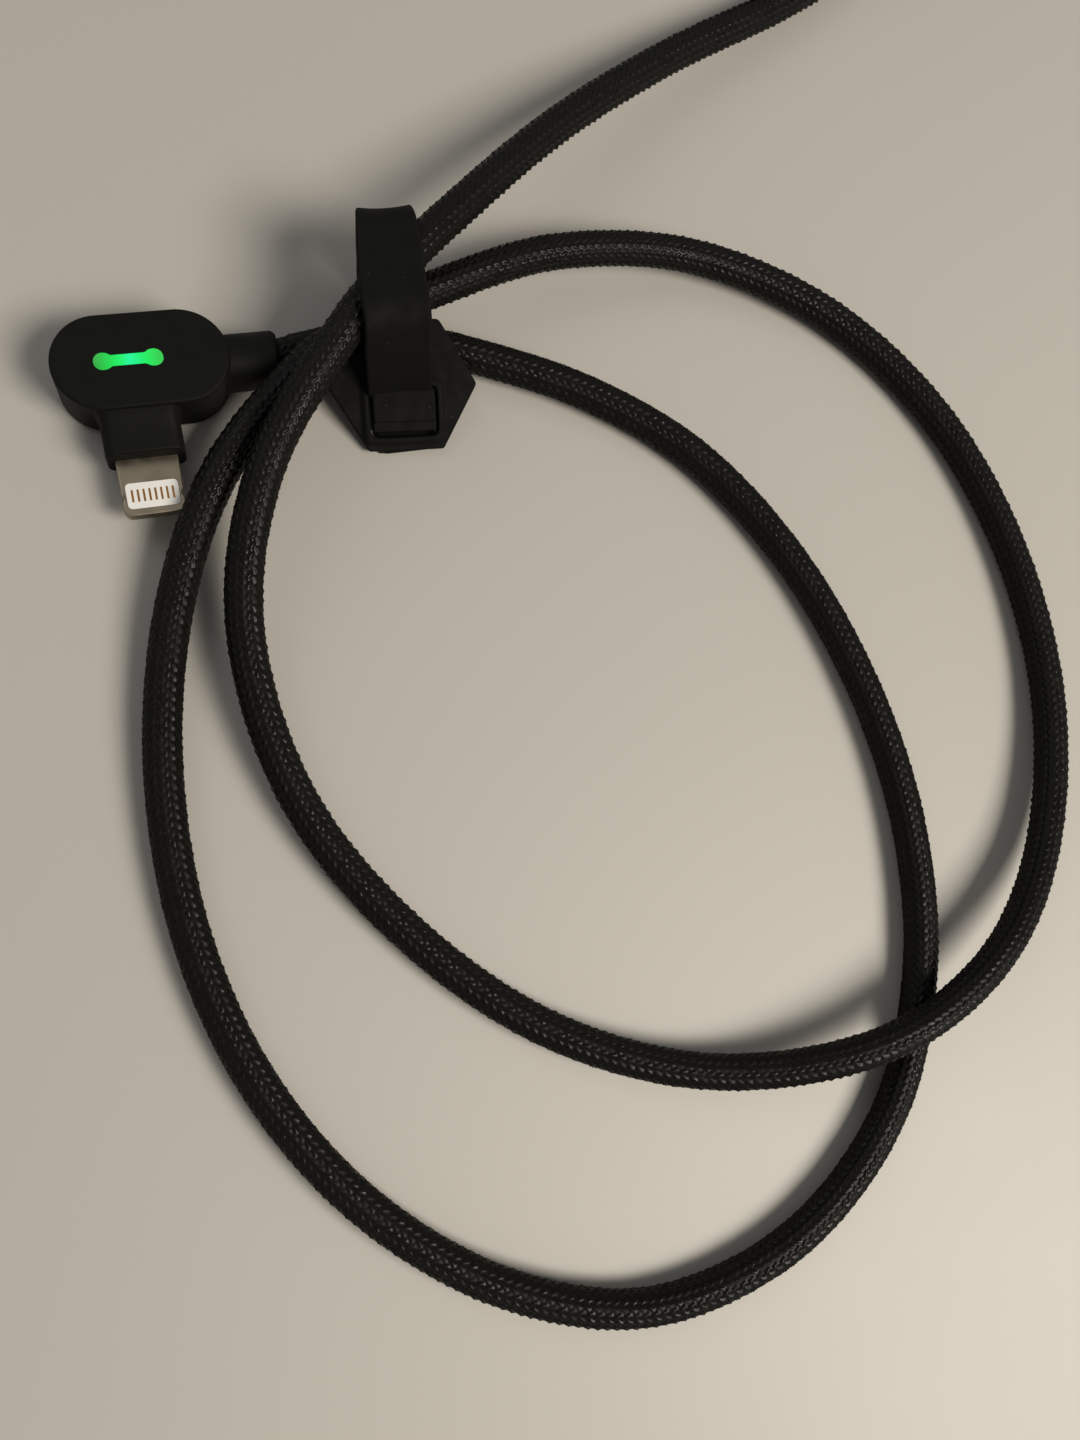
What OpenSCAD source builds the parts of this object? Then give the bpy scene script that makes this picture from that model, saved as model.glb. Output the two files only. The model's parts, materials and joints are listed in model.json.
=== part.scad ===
// Braided charging cable with a right-angled phone plug, a right-angled charger plug,
// a hexagonal silicone strap and its spare length wound in a tied coil.
// Millimetres. Z is up and everything lies on z = 0. The origin is under the point where
// the phone plug's tab axis (along -Y) crosses the cord's axis (along +X).

/* [Cord] */
// Diameter of the braided cord
cord_d = 4.4; // [3.6:0.1:4.6]
// Number of flat sides on the cord's tube
cord_sides = 8; // [8:1:12]
// Diameter of each insulated wire inside the cord
wire_d = 0.9; // [0.6:0.05:0.95]

/* [Phone plug head] */
// Length of the head, along the cord
head_l = 19; // [18:0.5:22]
// Width of the head, along the tab
head_w = 10.8; // [10:0.2:12.4]
// Thickness of the head
head_t = 7.2; // [6.8:0.1:8.4]
// How far the head's middle lies towards the cord from the tab's axis
head_shift = 1.3; // [0.8:0.1:1.8]
// Thickness of the head's moulded walls
wall = 1; // [0.8:0.05:1.2]
// Radius that rounds the head's outer edges
edge_r = 0.8; // [0.4:0.1:1]
// Width of the neck that the tab comes out of
neck_w = 8.5; // [8:0.1:9.5]
// Thickness of the neck
neck_t = 5.4; // [4.8:0.1:5.8]
// How far the neck stands out from the head's side
neck_out = 4.8; // [3.5:0.1:6]

/* [Phone plug tab] */
// Width of the steel tab
tab_w = 6.7; // [6.5:0.05:6.9]
// Thickness of the steel tab
tab_t = 1.5; // [1.4:0.05:1.6]
// Length of tab in front of the neck
tab_out = 6.4; // [6:0.1:7.2]
// Length of tab held behind the neck's end
tab_in = 7.4; // [6.8:0.1:8]
// Radius of the latch notch in each side of the tab
notch_r = 0.6; // [0.4:0.05:0.8]
// Depth of the latch notches
notch_depth = 0.25; // [0.15:0.05:0.3]
// Distance from the tab's tip to the middle of the notches
notch_from_tip = 2; // [1.6:0.1:3]
// Width of the white contact carrier
carrier_w = 5.6; // [5.4:0.05:5.7]
// Length of the white contact carrier, along the tab
carrier_l = 2.9; // [2.6:0.1:3.2]
// Metal left in front of the carrier
carrier_margin = 0.8; // [0.6:0.1:1]
// Number of contacts on each face
contact_count = 8; // [8:1:8]
// Distance between neighbouring contacts
contact_pitch = 0.62; // [0.55:0.01:0.65]
// Width of one contact
contact_w = 0.24; // [0.18:0.02:0.4]
// Length of one contact
contact_l = 1.4; // [1.1:0.1:1.8]
// Depth of one contact
contact_t = 0.2; // [0.1:0.05:0.3]

/* [Light window] */
// Distance between the window's two round ends
window_pitch = 5.4; // [4.6:0.1:6]
// Diameter of each round end
window_d = 2; // [1.6:0.1:2.4]
// Width of the bar between the round ends
window_bar = 1.25; // [0.9:0.05:1.5]
// Rim of the light guide that holds it under the cover
window_rim = 0.4; // [0.3:0.05:0.6]

/* [Cord exit] */
// Outside diameter of the exit collar
collar_d = 6.4; // [5.8:0.1:6.6]
// How far the collar stands out from the head
collar_out = 5.4; // [4:0.1:7]
// Depth to which the cord goes into the collar
cord_seat = 5; // [3.5:0.1:5.2]
// Length of the metal crimp on the wires
crimp_l = 1; // [0.8:0.1:1.4]
// Wall of the metal crimp
crimp_wall = 0.45; // [0.3:0.05:0.6]

/* [Boards] */
// Thickness of the circuit boards
board_t = 0.8; // [0.6:0.1:1]
// Height of a board's underside above the floor
board_z = 2; // [1.7:0.1:2]
// Height of the lamps on the board
led_h = 0.6; // [0.4:0.05:0.7]
// Side of the square lamps
led_w = 1.2; // [0.8:0.1:1.4]
// Side of the square control chip
chip_w = 2.2; // [1.6:0.1:2.4]
// Height of the control chip
chip_h = 0.8; // [0.6:0.1:0.9]

/* [Strap] */
// Lower side of the hexagonal plate
hex_side = 9; // [8.6:0.1:9.2]
// Width of the plate between its side corners
hex_w = 17.6; // [17:0.1:18]
// Height of the plate, along its slope
hex_h = 14.2; // [13.8:0.1:14.4]
// Thickness of the hexagonal plate
plate_t = 1; // [0.8:0.05:1.05]
// Slope of the plate above the floor
plate_slope = 25; // [24.5:0.5:26]
// Width of the band
band_w = 7; // [6.4:0.1:7.2]
// Thickness of the band
band_t = 1; // [0.8:0.05:1]
// Width of the slot in the plate
slot_w = 7.7; // [7.5:0.1:8.2]
// Length of the slot in the plate
slot_l = 5.8; // [5.6:0.1:6]
// Plate left below the slot
slot_from = 1.6; // [1.4:0.1:1.8]
// Gap between the band's foot and the slot's upper edge
foot_gap = 0.35; // [0.3:0.05:0.4]
// How far the foot stands above the plate
foot_h = 0.8; // [0.6:0.1:1]

/* [Charger plug head] */
// Length of the head, along the cord
big_l = 24; // [22:0.5:28]
// Width of the head, along the plug
big_w = 13; // [12:0.2:14]
// Thickness of the head
big_t = 8; // [7.6:0.1:9]
// How far the head's middle lies towards the cord from the plug's axis
big_shift = 1; // [0.5:0.1:1.6]
// Width of the neck
big_neck_w = 15.6; // [15:0.1:16]
// Thickness of the neck
big_neck_t = 7.4; // [7:0.1:7.4]
// How far the neck stands out from the head's side
big_neck_out = 3; // [2:0.1:5]
// Width of the metal shell
shell_w = 12; // [11.9:0.05:12.1]
// Thickness of the metal shell, outside
shell_h = 4.5; // [4.4:0.05:4.6]
// Wall of the metal shell
shell_wall = 0.32; // [0.25:0.01:0.4]
// Length of shell in front of the neck
shell_out = 11.8; // [11:0.1:12.5]
// Length of shell held behind the neck's end
shell_in = 5; // [4:0.1:6]
// Side of the square latch holes in the shell
latch_hole = 2; // [1.6:0.1:2.4]
// Thickness of the contact tongue
tongue_t = 1.85; // [1.7:0.05:2]

/* [Storage coil] */
// Radius to the middle of the coil's turns
coil_r = 25.5; // [23:0.1:26]
// Thickness of the coil's tie
tie_t = 0.6; // [0.4:0.1:0.8]
// Angle of the ring that the tie covers
tie_angle = 20; // [14:1:30]

/* [Hidden] */
$fn = 48;
eps = 0.01;
// Gap left round a piece that slides into another
fit = 0.05;
// Gap left round the cord in a collar
cord_fit = 0.1;

// Phone plug head
axis_z = head_t / 2;
head_end = head_shift + head_l / 2;
neck_end = -(head_w / 2 + neck_out);
collar_end = head_end + collar_out;
cord_start = collar_end - cord_seat;
spigot_d = 3.8;
flange_d = 5;
flange_t = 0.8;
wire_bore = 2.5;
post_d = 1.6;
end_wall = 2.6;
pocket_end = head_end - end_wall;
board_top = board_z + board_t;
front_seat = axis_z + tab_t / 2 - contact_t;
back_seat = axis_z - tab_t / 2;
board_from = head_shift - head_l / 2 + wall + 1.6;
board_to = pocket_end - flange_t - crimp_l - 1.4;
board_w = head_w - 2 * wall - 1.6;

// Charger plug head, which lies beyond the coil
big_at = [25, 96, 0];
big_axis_z = big_t / 2;
big_end = big_shift + big_l / 2;
big_neck_end = -(big_w / 2 + big_neck_out);
big_pocket_end = big_end - end_wall;
big_collar_end = big_end + collar_out;
big_cord_start = big_collar_end - cord_seat;

// Strap. Its own frame has x across the band and y up the band from the plate's lower edge.
strap_at = [29.5, -11.4, 0];
strap_turn = -4;
band_turn = 4;
band_pivot = 4;
fold_r = plate_t / 2 + 0.25;
back_end = 18;
back_bend_r = 5.2;
hinge_z = 9;
hinge_gap = 0.25;
top_z = 15.8;
top_bend_r = 3.6;
front_bend_r = 3.5;
front_turn = 72;
front_y = 5.5;
foot_root_z = 4;
ledge_l = 1.1;
ledge_h = 0.35;
plate_mid_z = fold_r;
plate_cut = 0.4;
plate_cut_x = 1;

// Coil
coil_at = [98, 80, 0];
tie_at = 20;
coil_out = 90;
stack_from = 230;
cord_r = cord_d / 2;
turn_rise = cord_d * sqrt(3) / 2;

// Cord route: from the phone plug's collar, once round the big loop, once round the
// second loop that crosses it, and away to the coil
ROUTE = [
    [cord_start, 0, axis_z], [collar_end, 0, axis_z],
    [18.8, 0.8, 3.5], [28.5, 1.4, 3.5], [39, -1.3, 2.9], [53.5, -7.8, 2.5],
    [66, -17.7, 2.3], [75.5, -32.5, 2.3], [81.3, -50, 2.3], [83, -68, 2.3],
    [80, -85.5, 2.3], [71.5, -101, 2.3], [56.5, -111.5, 2.3], [38.5, -114, 2.3],
    [22.5, -107.7, 2.3], [9.2, -95.5, 2.3], [0.2, -80, 2.3], [-4.2, -62.5, 2.3],
    [-4, -44, 2.6], [0.2, -26.7, 3.6], [7.7, -12.9, 5.8], [18.7, -2.6, 7.2],
    [26.4, 1.3, 8], [34.5, 4.7, 8], [51.6, 9.3, 6.1], [70.8, 8.5, 3.7],
    [88.5, -0.5, 2.6], [101, -15.7, 2.3], [107.3, -34.7, 2.3], [107.4, -55, 2.6],
    [100.5, -73.3, 4], [88, -85.5, 6.7], [71.2, -91.8, 6.7], [51.5, -90.8, 3.6],
    [33.6, -82.3, 2.5], [19.5, -68.3, 2.3], [9.6, -50.7, 3.2], [7, -31.3, 5.5],
    [12.2, -14.4, 9.2], [23.6, -0.5, 12.3], [30.5, 5.8, 12.3], [37.6, 11.6, 11.6],
    [53.8, 24, 8.4], [72.2, 34.9, 5.2], [90.8, 43.3, 3.4], [102.5, 49.6, 2.6],
    [113.5, 57, 2.3]
];
// Rings along that route
ROUTE_RINGS = 68;

// Cord route from the coil to the charger plug
TAIL = [
    [98, 105.5, 6], [88, 105, 6.9], [77, 102, 5.6], [66, 98, 4.3],
    [57, 96.2, 4], [big_at.x + big_collar_end, 96, big_axis_z],
    [big_at.x + big_cord_start, 96, big_axis_z]
];
TAIL_RINGS = 9;

// ---------------------------------------------------------------- helpers

// Point at u segments along the points p, on a Catmull-Rom curve
function curve(p, u) =
    let (
        n = len(p) - 1,
        i = min(floor(u), n - 1),
        t = u - i,
        b = p[i],
        c = p[i + 1],
        a = i > 0 ? p[i - 1] : 2 * b - c,
        d = i + 2 <= n ? p[i + 2] : 2 * c - b
    )
    (2 * b + (c - a) * t + (2 * a - 5 * b + 4 * c - d) * t * t
        + (3 * b - a - 3 * c + d) * t * t * t) / 2;

// Unit vector along v
function unit(v) = v / norm(v);

// Corners of the ring of n sides and radius r round point at, square to the direction dir
function ring(at, dir, r, n) =
    let (
        side = unit(cross(dir, [0, 0, 1])),
        up = cross(side, dir)
    )
    [for (k = [0:n - 1]) at + r * (cos(360 * k / n) * side + sin(360 * k / n) * up)];

// A tube of n sides and radius r, swept along the curve through the points p
module swept_tube(p, r, n, rings) {
    segments = len(p) - 1;
    step = 0.01;
    corners = [
        for (k = [0:rings])
            let (
                u = segments * k / rings,
                ahead = curve(p, min(u + step, segments)),
                behind = curve(p, max(u - step, 0))
            )
            each ring(curve(p, u), unit(ahead - behind), r, n)
    ];
    sides = [
        for (k = [0:rings - 1], j = [0:n - 1])
            let (
                a = k * n + j,
                b = k * n + (j + 1) % n
            )
            each [[a, b, b + n], [a, b + n, a + n]]
    ];
    first_cap = [for (j = [n - 1:-1:0]) j];
    last_cap = [for (j = [0:n - 1]) rings * n + j];
    polyhedron(corners, concat(sides, [first_cap], [last_cap]));
}

// Rectangle l by w with rounded corners, about the origin
module round_rect(l, w, r) {
    square([l - 2 * r, w], center = true);
    square([l, w - 2 * r], center = true);
    for (x = [-1, 1], y = [-1, 1])
        translate([x * (l / 2 - r), y * (w / 2 - r)])
            circle(r);
}

// Solid with straight sides, half-round ends and rounded edges, l by w by t, on z = 0
module pebble(l, w, t, r) {
    for (x = [-1, 1])
        translate([x * (l - w) / 2, 0, t / 2])
            rotate_extrude()
                intersection() {
                    round_rect(w, t, r);
                    translate([0, -t])
                        square([w, 2 * t]);
                }
    translate([-(l - w) / 2, 0, t / 2])
        rotate([90, 0, 90])
            linear_extrude(l - w)
                round_rect(w, t, r);
}

// Cylinder along X from x0 to x1 at height z
module x_rod(x0, x1, d, z) {
    translate([x0, 0, z])
        rotate([0, 90, 0])
            cylinder(h = x1 - x0, d = d);
}

// Block along Y with a rounded section w by t, from y0 to y1 at height z
module y_bar(y0, y1, w, t, r, z) {
    translate([0, y1, z])
        rotate([90, 0, 0])
            linear_extrude(y1 - y0)
                round_rect(w, t, r);
}

// Everything above (upper) or below the height z
module half_space(z, upper) {
    size = 80;
    translate([-size / 2, -size / 2, upper ? z : z - size])
        cube(size);
}

// One half of a plug head's moulded shell, split at mid height. The plug is held in a
// slot of plug_w by plug_t, and the cord's collar in the end wall.
module head_shell(l, w, t, shift, n_w, n_t, n_out, p_w, p_t, upper) {
    z = t / 2;
    body_end = shift + l / 2;
    plug_end = -(w / 2 + n_out);
    collar_from = body_end - 1.1;
    intersection() {
        difference() {
            union() {
                translate([shift, 0, 0])
                    pebble(l, w, t, edge_r);
                y_bar(plug_end, 0, n_w, n_t, 1.2, z);
            }
            difference() {
                translate([shift, 0, wall])
                    pebble(l - 2 * wall, w - 2 * wall, t - 2 * wall, edge_r / 2);
                translate([body_end - end_wall, -w, 0])
                    cube([w, 2 * w, t]);
            }
            translate([-p_w / 2 - fit, plug_end - 1, z - p_t / 2 - fit])
                cube([p_w + 2 * fit, 1 - plug_end, p_t + 2 * fit]);
            x_rod(body_end - 3, body_end, spigot_d + 2 * fit, z);
            x_rod(collar_from, body_end + 1, collar_d + 2 * fit, z);
        }
        half_space(z, upper);
    }
}

// Collar that the cord comes out of, with its spigot and its inner flange
module collar(end, z) {
    body_end = end - collar_out;
    chamfer = 0.35;
    seat = end - cord_seat;
    difference() {
        union() {
            x_rod(body_end - 1.1, end - chamfer, collar_d, z);
            translate([end - chamfer, 0, z])
                rotate([0, 90, 0])
                    rotate_extrude()
                        polygon([
                            [0, 0], [collar_d / 2, 0], [collar_d / 2 - chamfer, chamfer],
                            [0, chamfer]
                        ]);
            x_rod(body_end - end_wall - flange_t, body_end - 1, spigot_d, z);
            x_rod(body_end - end_wall - flange_t, body_end - end_wall, flange_d, z);
        }
        x_rod(seat, end + 1, cord_d + 2 * cord_fit, z);
        x_rod(body_end - 4, seat + 1, wire_bore, z);
    }
}

// Metal ring crimped on the wires behind the collar's flange
module crimp(end, z) {
    from = end - collar_out - end_wall - flange_t;
    difference() {
        x_rod(from - crimp_l, from, wire_bore + 2 * crimp_wall, z);
        x_rod(from - crimp_l - 1, from + 1, wire_bore, z);
    }
}

// One insulated wire from the cord's end to its pad. row and side place it in the
// bundle, pad is the pad's y, pad_x its x and pad_z the board's upper face.
module wire(start, z, row, side, pad_x, pad, pad_z) {
    off = wire_d / 2 + 0.03;
    lead = start - (cord_start - pocket_end) - flange_t - crimp_l;
    swept_tube(
        [
            [start - fit, side * off, z + row * off],
            [lead, side * off, z + row * off],
            [lead - 0.7, side * off + (pad - side * off) * 0.3, z + row * off],
            [pad_x + 0.5, pad, pad_z + wire_d / 2 + fit],
            [pad_x, pad, pad_z + wire_d / 2 + fit]
        ],
        wire_d / 2, 8, 10
    );
}

// Outline of the light window, grown by rim
module window_outline(rim) {
    square([window_pitch, window_bar + 2 * rim], center = true);
    for (x = [-1, 1])
        translate([x * window_pitch / 2, 0])
            circle(d = window_d + 2 * rim);
}

// Row of contacts from height z to height z + t, which are flush with the tab's face
module contact_row(z, t) {
    y = neck_end - tab_out + carrier_margin + carrier_l / 2;
    for (k = [0:contact_count - 1])
        translate([(k - (contact_count - 1) / 2) * contact_pitch, y, z + t / 2])
            cube([contact_w, contact_l, t], center = true);
}

// Section through two neighbouring turns of the coil and the one stacked on them, if it
// is there, grown by rim
module bundle_section(rim, stacked) {
    r = cord_r + rim;
    rest = stacked ? 30 : 90;
    polygon([
        for (a = [-90:15:rest]) [coil_r + cord_r + r * cos(a), cord_r + r * sin(a)],
        if (stacked)
            for (a = [30:15:150])
                [coil_r + r * cos(a), cord_r + turn_rise + r * sin(a)],
        for (a = [180 - rest:15:270]) [coil_r - cord_r + r * cos(a), cord_r + r * sin(a)]
    ]);
}

// ---------------------------------------------------------------- phone plug

module head_case() {
    color("#17181a") {
        head_shell(head_l, head_w, head_t, head_shift, neck_w, neck_t, neck_out,
            tab_w, tab_t, false);
        for (x = [board_from + 1.4, board_to - 1.4], y = [-1, 1])
            translate([x, y * (board_w / 2 - 1.2), wall - eps])
                cylinder(h = board_z - wall + eps, d = post_d);
    }
}

module head_cover() {
    color("#17181a")
        difference() {
            head_shell(head_l, head_w, head_t, head_shift, neck_w, neck_t, neck_out,
                tab_w, tab_t, true);
            translate([0, 0, head_t / 2])
                linear_extrude(head_t)
                    window_outline(fit);
        }
}

module light_guide() {
    color("#2fe15b") {
        translate([0, 0, head_t - wall - eps])
            linear_extrude(wall + eps)
                window_outline(0);
        translate([0, 0, head_t - wall - 0.5])
            linear_extrude(0.5)
                window_outline(window_rim);
        for (x = [-1, 1])
            translate([x * window_pitch / 2, 0, board_top + led_h + 0.1])
                cylinder(h = head_t - wall - 0.5 - board_top - led_h - 0.1 + eps, d = window_d - 0.4);
    }
}

module status_lamps() {
    color("#e8f5c8")
        for (x = [-1, 1])
            translate([x * window_pitch / 2 - led_w / 2, -led_w / 2, board_top])
                cube([led_w, led_w, led_h]);
}

module head_board() {
    color("#1f5c3a")
        translate([(board_from + board_to) / 2, 0, board_z])
            linear_extrude(board_t)
                round_rect(board_to - board_from, board_w, 1.2);
}

module control_chip() {
    color("#101012")
        translate([-chip_w / 2, 1.1, board_top])
            cube([chip_w, chip_w, chip_h]);
}

module board_resistors() {
    color("#8a7f6a")
        for (y = [-2.2, 0, 2.2])
            translate([board_from + 0.3, y - 0.3, board_top])
                cube([1.2, 0.6, 0.4]);
}

module tab_frame() {
    tip = neck_end - tab_out;
    root = neck_end + tab_in;
    hole_y = tip + carrier_margin + carrier_l / 2;
    color("#c9c6c0")
        difference() {
            union() {
                translate([0, 0, axis_z - tab_t / 2])
                    linear_extrude(tab_t)
                        translate([0, (tip + root) / 2])
                            round_rect(tab_w, root - tip, 0.9);
                translate([-tab_w / 2 + 1.2, root - 1.6, board_top])
                    cube([tab_w - 2.4, 1, axis_z - board_top]);
            }
            translate([0, hole_y, 0])
                linear_extrude(head_t)
                    round_rect(carrier_w, carrier_l, 0.5);
            for (x = [-1, 1])
                translate([x * (tab_w / 2 + notch_r - notch_depth), tip + notch_from_tip, 0])
                    cylinder(h = head_t, r = notch_r);
        }
}

module contact_carrier() {
    y = neck_end - tab_out + carrier_margin + carrier_l / 2;
    color("#f4f4f2")
        difference() {
            translate([0, y, axis_z - tab_t / 2])
                linear_extrude(tab_t)
                    round_rect(carrier_w, carrier_l, 0.5);
            contact_row(front_seat, contact_t + 1);
            contact_row(back_seat - 1, contact_t + 1);
        }
}

module contacts_front() {
    color("#b98d43")
        contact_row(front_seat, contact_t);
}

module contacts_back() {
    color("#b98d43")
        contact_row(back_seat, contact_t);
}

module exit_collar() {
    color("#1b1b1c")
        collar(collar_end, axis_z);
}

module cord_crimp() {
    color("#b8b8b4")
        crimp(collar_end, axis_z);
}

module head_wire(row, side, pad) {
    wire(cord_start, axis_z, row, side, 3.9, pad, board_top);
}

module wire_red() { color("#b8231e") head_wire(1, 1, 1.8); }
module wire_black() { color("#1a1a1a") head_wire(-1, -1, -0.6); }
module wire_green() { color("#2a8f3c") head_wire(-1, 1, 0.6); }
module wire_white() { color("#e6e4de") head_wire(1, -1, -1.8); }

// ---------------------------------------------------------------- cord

module cord_tube() {
    color("#141414")
        swept_tube(ROUTE, cord_r, cord_sides, ROUTE_RINGS);
}

// The stacked turn begins at stack_from and leaves the coil at coil_out
module cord_coil() {
    color("#141414")
        translate(coil_at) {
            rotate([0, 0, stack_from])
                rotate_extrude(angle = 360 + coil_out - stack_from, $fn = 96)
                    bundle_section(0, true);
            rotate([0, 0, coil_out - 1])
                rotate_extrude(angle = stack_from - coil_out + 2, $fn = 96)
                    bundle_section(0, false);
        }
}

module cord_tail() {
    color("#141414")
        swept_tube(TAIL, cord_r, cord_sides, TAIL_RINGS);
}

module coil_tie() {
    color("#202124")
        translate(coil_at)
            rotate([0, 0, tie_at - tie_angle / 2])
                rotate_extrude(angle = tie_angle, $fn = 96)
                    difference() {
                        intersection() {
                            bundle_section(tie_t, true);
                            square(2 * coil_r);
                        }
                        intersection() {
                            bundle_section(0, true);
                            translate([0, tie_t])
                                square(2 * coil_r);
                        }
                    }
}

// ---------------------------------------------------------------- strap

// Puts the strap's own frame in place
module strap_frame() {
    translate(strap_at)
        rotate([0, 0, strap_turn])
            children();
}

// Extrudes a side profile (y across, z up) over the band's width. The band is turned
// against the plate by band_turn, about a point near its foot.
module across_band() {
    translate([0, band_pivot, 0])
        rotate([0, 0, band_turn])
            translate([-band_w / 2, -band_pivot, 0])
                rotate([90, 0, 90])
                    linear_extrude(band_w)
                        children();
}

// Points of a circle of radius r about at, from the angle start through the angle turn
function arc(at, r, start, turn) =
    let (steps = 12)
    [for (k = [0:steps]) at + r * [cos(start + turn * k / steps), sin(start + turn * k / steps)]];

// Outline of the plate: a hexagon standing on one side, with its upper left corner cut
// off where a cord leans on it
module plate_outline() {
    left = [-hex_w / 2, hex_h / 2];
    polygon([
        [-hex_side / 2, 0], [hex_side / 2, 0], [hex_w / 2, hex_h / 2],
        [hex_side / 2, hex_h], [plate_cut_x, hex_h],
        (1 - plate_cut) * left + plate_cut * [-hex_side / 2, hex_h], left
    ]);
}

module strap_base() {
    half = band_t / 2;
    rise = back_end + back_bend_r;
    back_at = [back_end, half + back_bend_r];
    color("#1c1b1a")
        strap_frame() {
            translate([0, 0, plate_mid_z])
                rotate([plate_slope, 0, 0])
                    translate([0, 0, -plate_t / 2])
                        linear_extrude(plate_t)
                            difference() {
                                plate_outline();
                                translate([0, slot_from + slot_l / 2])
                                    round_rect(slot_w, slot_l, 0.8);
                            }
            across_band()
                union() {
                    translate([0, fold_r])
                        circle(fold_r);
                    polygon(concat(
                        [[0, band_t], [0, 0]],
                        arc(back_at, back_bend_r + half, 270, 90),
                        [[rise + half, hinge_z - half - hinge_gap],
                            [rise - half, hinge_z - half - hinge_gap]],
                        arc(back_at, back_bend_r - half, 360, -90)
                    ));
                }
        }
}

module strap_flap() {
    half = band_t / 2;
    rise = back_end + back_bend_r;
    top_mid = top_z - half;
    drop_z = top_mid - front_bend_r * (1 - cos(front_turn));
    drop_l = (drop_z - foot_root_z) / sin(front_turn);
    over_from = front_y + drop_l * cos(front_turn) + front_bend_r * sin(front_turn);
    top_at = [rise - top_bend_r, top_mid - top_bend_r];
    front_at = [over_from, top_mid - front_bend_r];
    root = [front_y, foot_root_z];
    across_root = half * [sin(front_turn), -cos(front_turn)];
    foot_l = slot_l - foot_gap - ledge_l - 0.6;
    foot_from = slot_from + slot_l - foot_gap - foot_l;
    color("#1c1b1a")
        strap_frame() {
            across_band()
                polygon(concat(
                    arc([rise, hinge_z], half, 180, 180),
                    arc(top_at, top_bend_r + half, 0, 90),
                    arc(front_at, front_bend_r + half, 90, front_turn),
                    [root - across_root, root + across_root],
                    arc(front_at, front_bend_r - half, 90 + front_turn, -front_turn),
                    arc(top_at, top_bend_r - half, 90, -90)
                ));
            translate([0, 0, plate_mid_z])
                rotate([plate_slope, 0, 0]) {
                    translate([-band_w / 2, foot_from, -plate_t / 2])
                        cube([band_w, foot_l, plate_t + foot_h]);
                    translate([-band_w / 2, foot_from - ledge_l, -plate_t / 2])
                        cube([band_w, ledge_l + eps, plate_t + ledge_h]);
                }
        }
}

// ---------------------------------------------------------------- charger plug

// Puts the charger plug's own frame in place
module charger_frame() {
    translate(big_at)
        children();
}

module charger_half(upper) {
    head_shell(big_l, big_w, big_t, big_shift, big_neck_w, big_neck_t, big_neck_out,
        shell_w, shell_h, upper);
}

module charger_case() {
    color("#17181a")
        charger_frame() {
            charger_half(false);
            for (x = [-6, 5])
                translate([x, 3, wall - eps])
                    cylinder(h = board_z - wall + eps, d = 2);
        }
}

module charger_cover() {
    color("#17181a")
        charger_frame()
            charger_half(true);
}

module charger_shell() {
    tip = big_neck_end - shell_out;
    root = big_neck_end + shell_in;
    color("#c4c4c4")
        charger_frame()
            difference() {
                y_bar(tip, root, shell_w, shell_h, 0.6, big_axis_z);
                y_bar(tip - 1, root + 1, shell_w - 2 * shell_wall, shell_h - 2 * shell_wall,
                    0.35, big_axis_z);
                for (x = [-1, 1])
                    translate([x * shell_w / 4 - latch_hole / 2, tip + 5.2, 0])
                        cube([latch_hole, latch_hole, big_t]);
            }
}

module charger_tongue() {
    tip = big_neck_end - shell_out;
    root = big_neck_end + shell_in;
    inner_w = shell_w - 2 * shell_wall - 2 * fit;
    inner_h = shell_h - 2 * shell_wall - 2 * fit;
    color("#e9e9e6")
        charger_frame()
            difference() {
                union() {
                    y_bar(tip + 0.6, root, inner_w, tongue_t, 0.35,
                        big_axis_z - (inner_h - tongue_t) / 2);
                    y_bar(big_neck_end - 1, root, inner_w, inner_h, 0.35, big_axis_z);
                }
                charger_contact_row(eps);
            }
}

// Four long contacts on the tongue, sunk into it and grown by extra
module charger_contact_row(extra) {
    tip = big_neck_end - shell_out;
    top = big_axis_z - shell_h / 2 + shell_wall + fit + tongue_t;
    for (x = [-3.5, -1, 1, 3.5])
        translate([x - 0.5, tip + 1.8, top - 0.3])
            cube([1, shell_out - 2.8, 0.3 + extra]);
}

module charger_contacts() {
    color("#b98d43")
        charger_frame()
            charger_contact_row(0);
}

module charger_board() {
    root = big_neck_end + shell_in;
    color("#1f5c3a")
        charger_frame()
            translate([-7.5, root + 0.1, board_z])
                cube([big_pocket_end - flange_t - crimp_l - 1.4 + 7.5, 7.4, board_t]);
}

module charger_resistor() {
    color("#8a7f6a")
        charger_frame()
            translate([-3.4, 0.4, board_top])
                cube([1.6, 0.8, 0.5]);
}

module charger_collar() {
    color("#1b1b1c")
        charger_frame()
            collar(big_collar_end, big_axis_z);
}

module charger_crimp() {
    color("#b8b8b4")
        charger_frame()
            crimp(big_collar_end, big_axis_z);
}

module charger_wire(row, side, pad) {
    charger_frame()
        wire(big_cord_start, big_axis_z, row, side, 5.4, pad, board_top);
}

module charger_wire_red() { color("#b8231e") charger_wire(1, 1, 1.8); }
module charger_wire_black() { color("#1a1a1a") charger_wire(-1, -1, -0.6); }
module charger_wire_green() { color("#2a8f3c") charger_wire(-1, 1, 0.6); }
module charger_wire_white() { color("#e6e4de") charger_wire(1, -1, -1.8); }

// ---------------------------------------------------------------- the part

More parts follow.
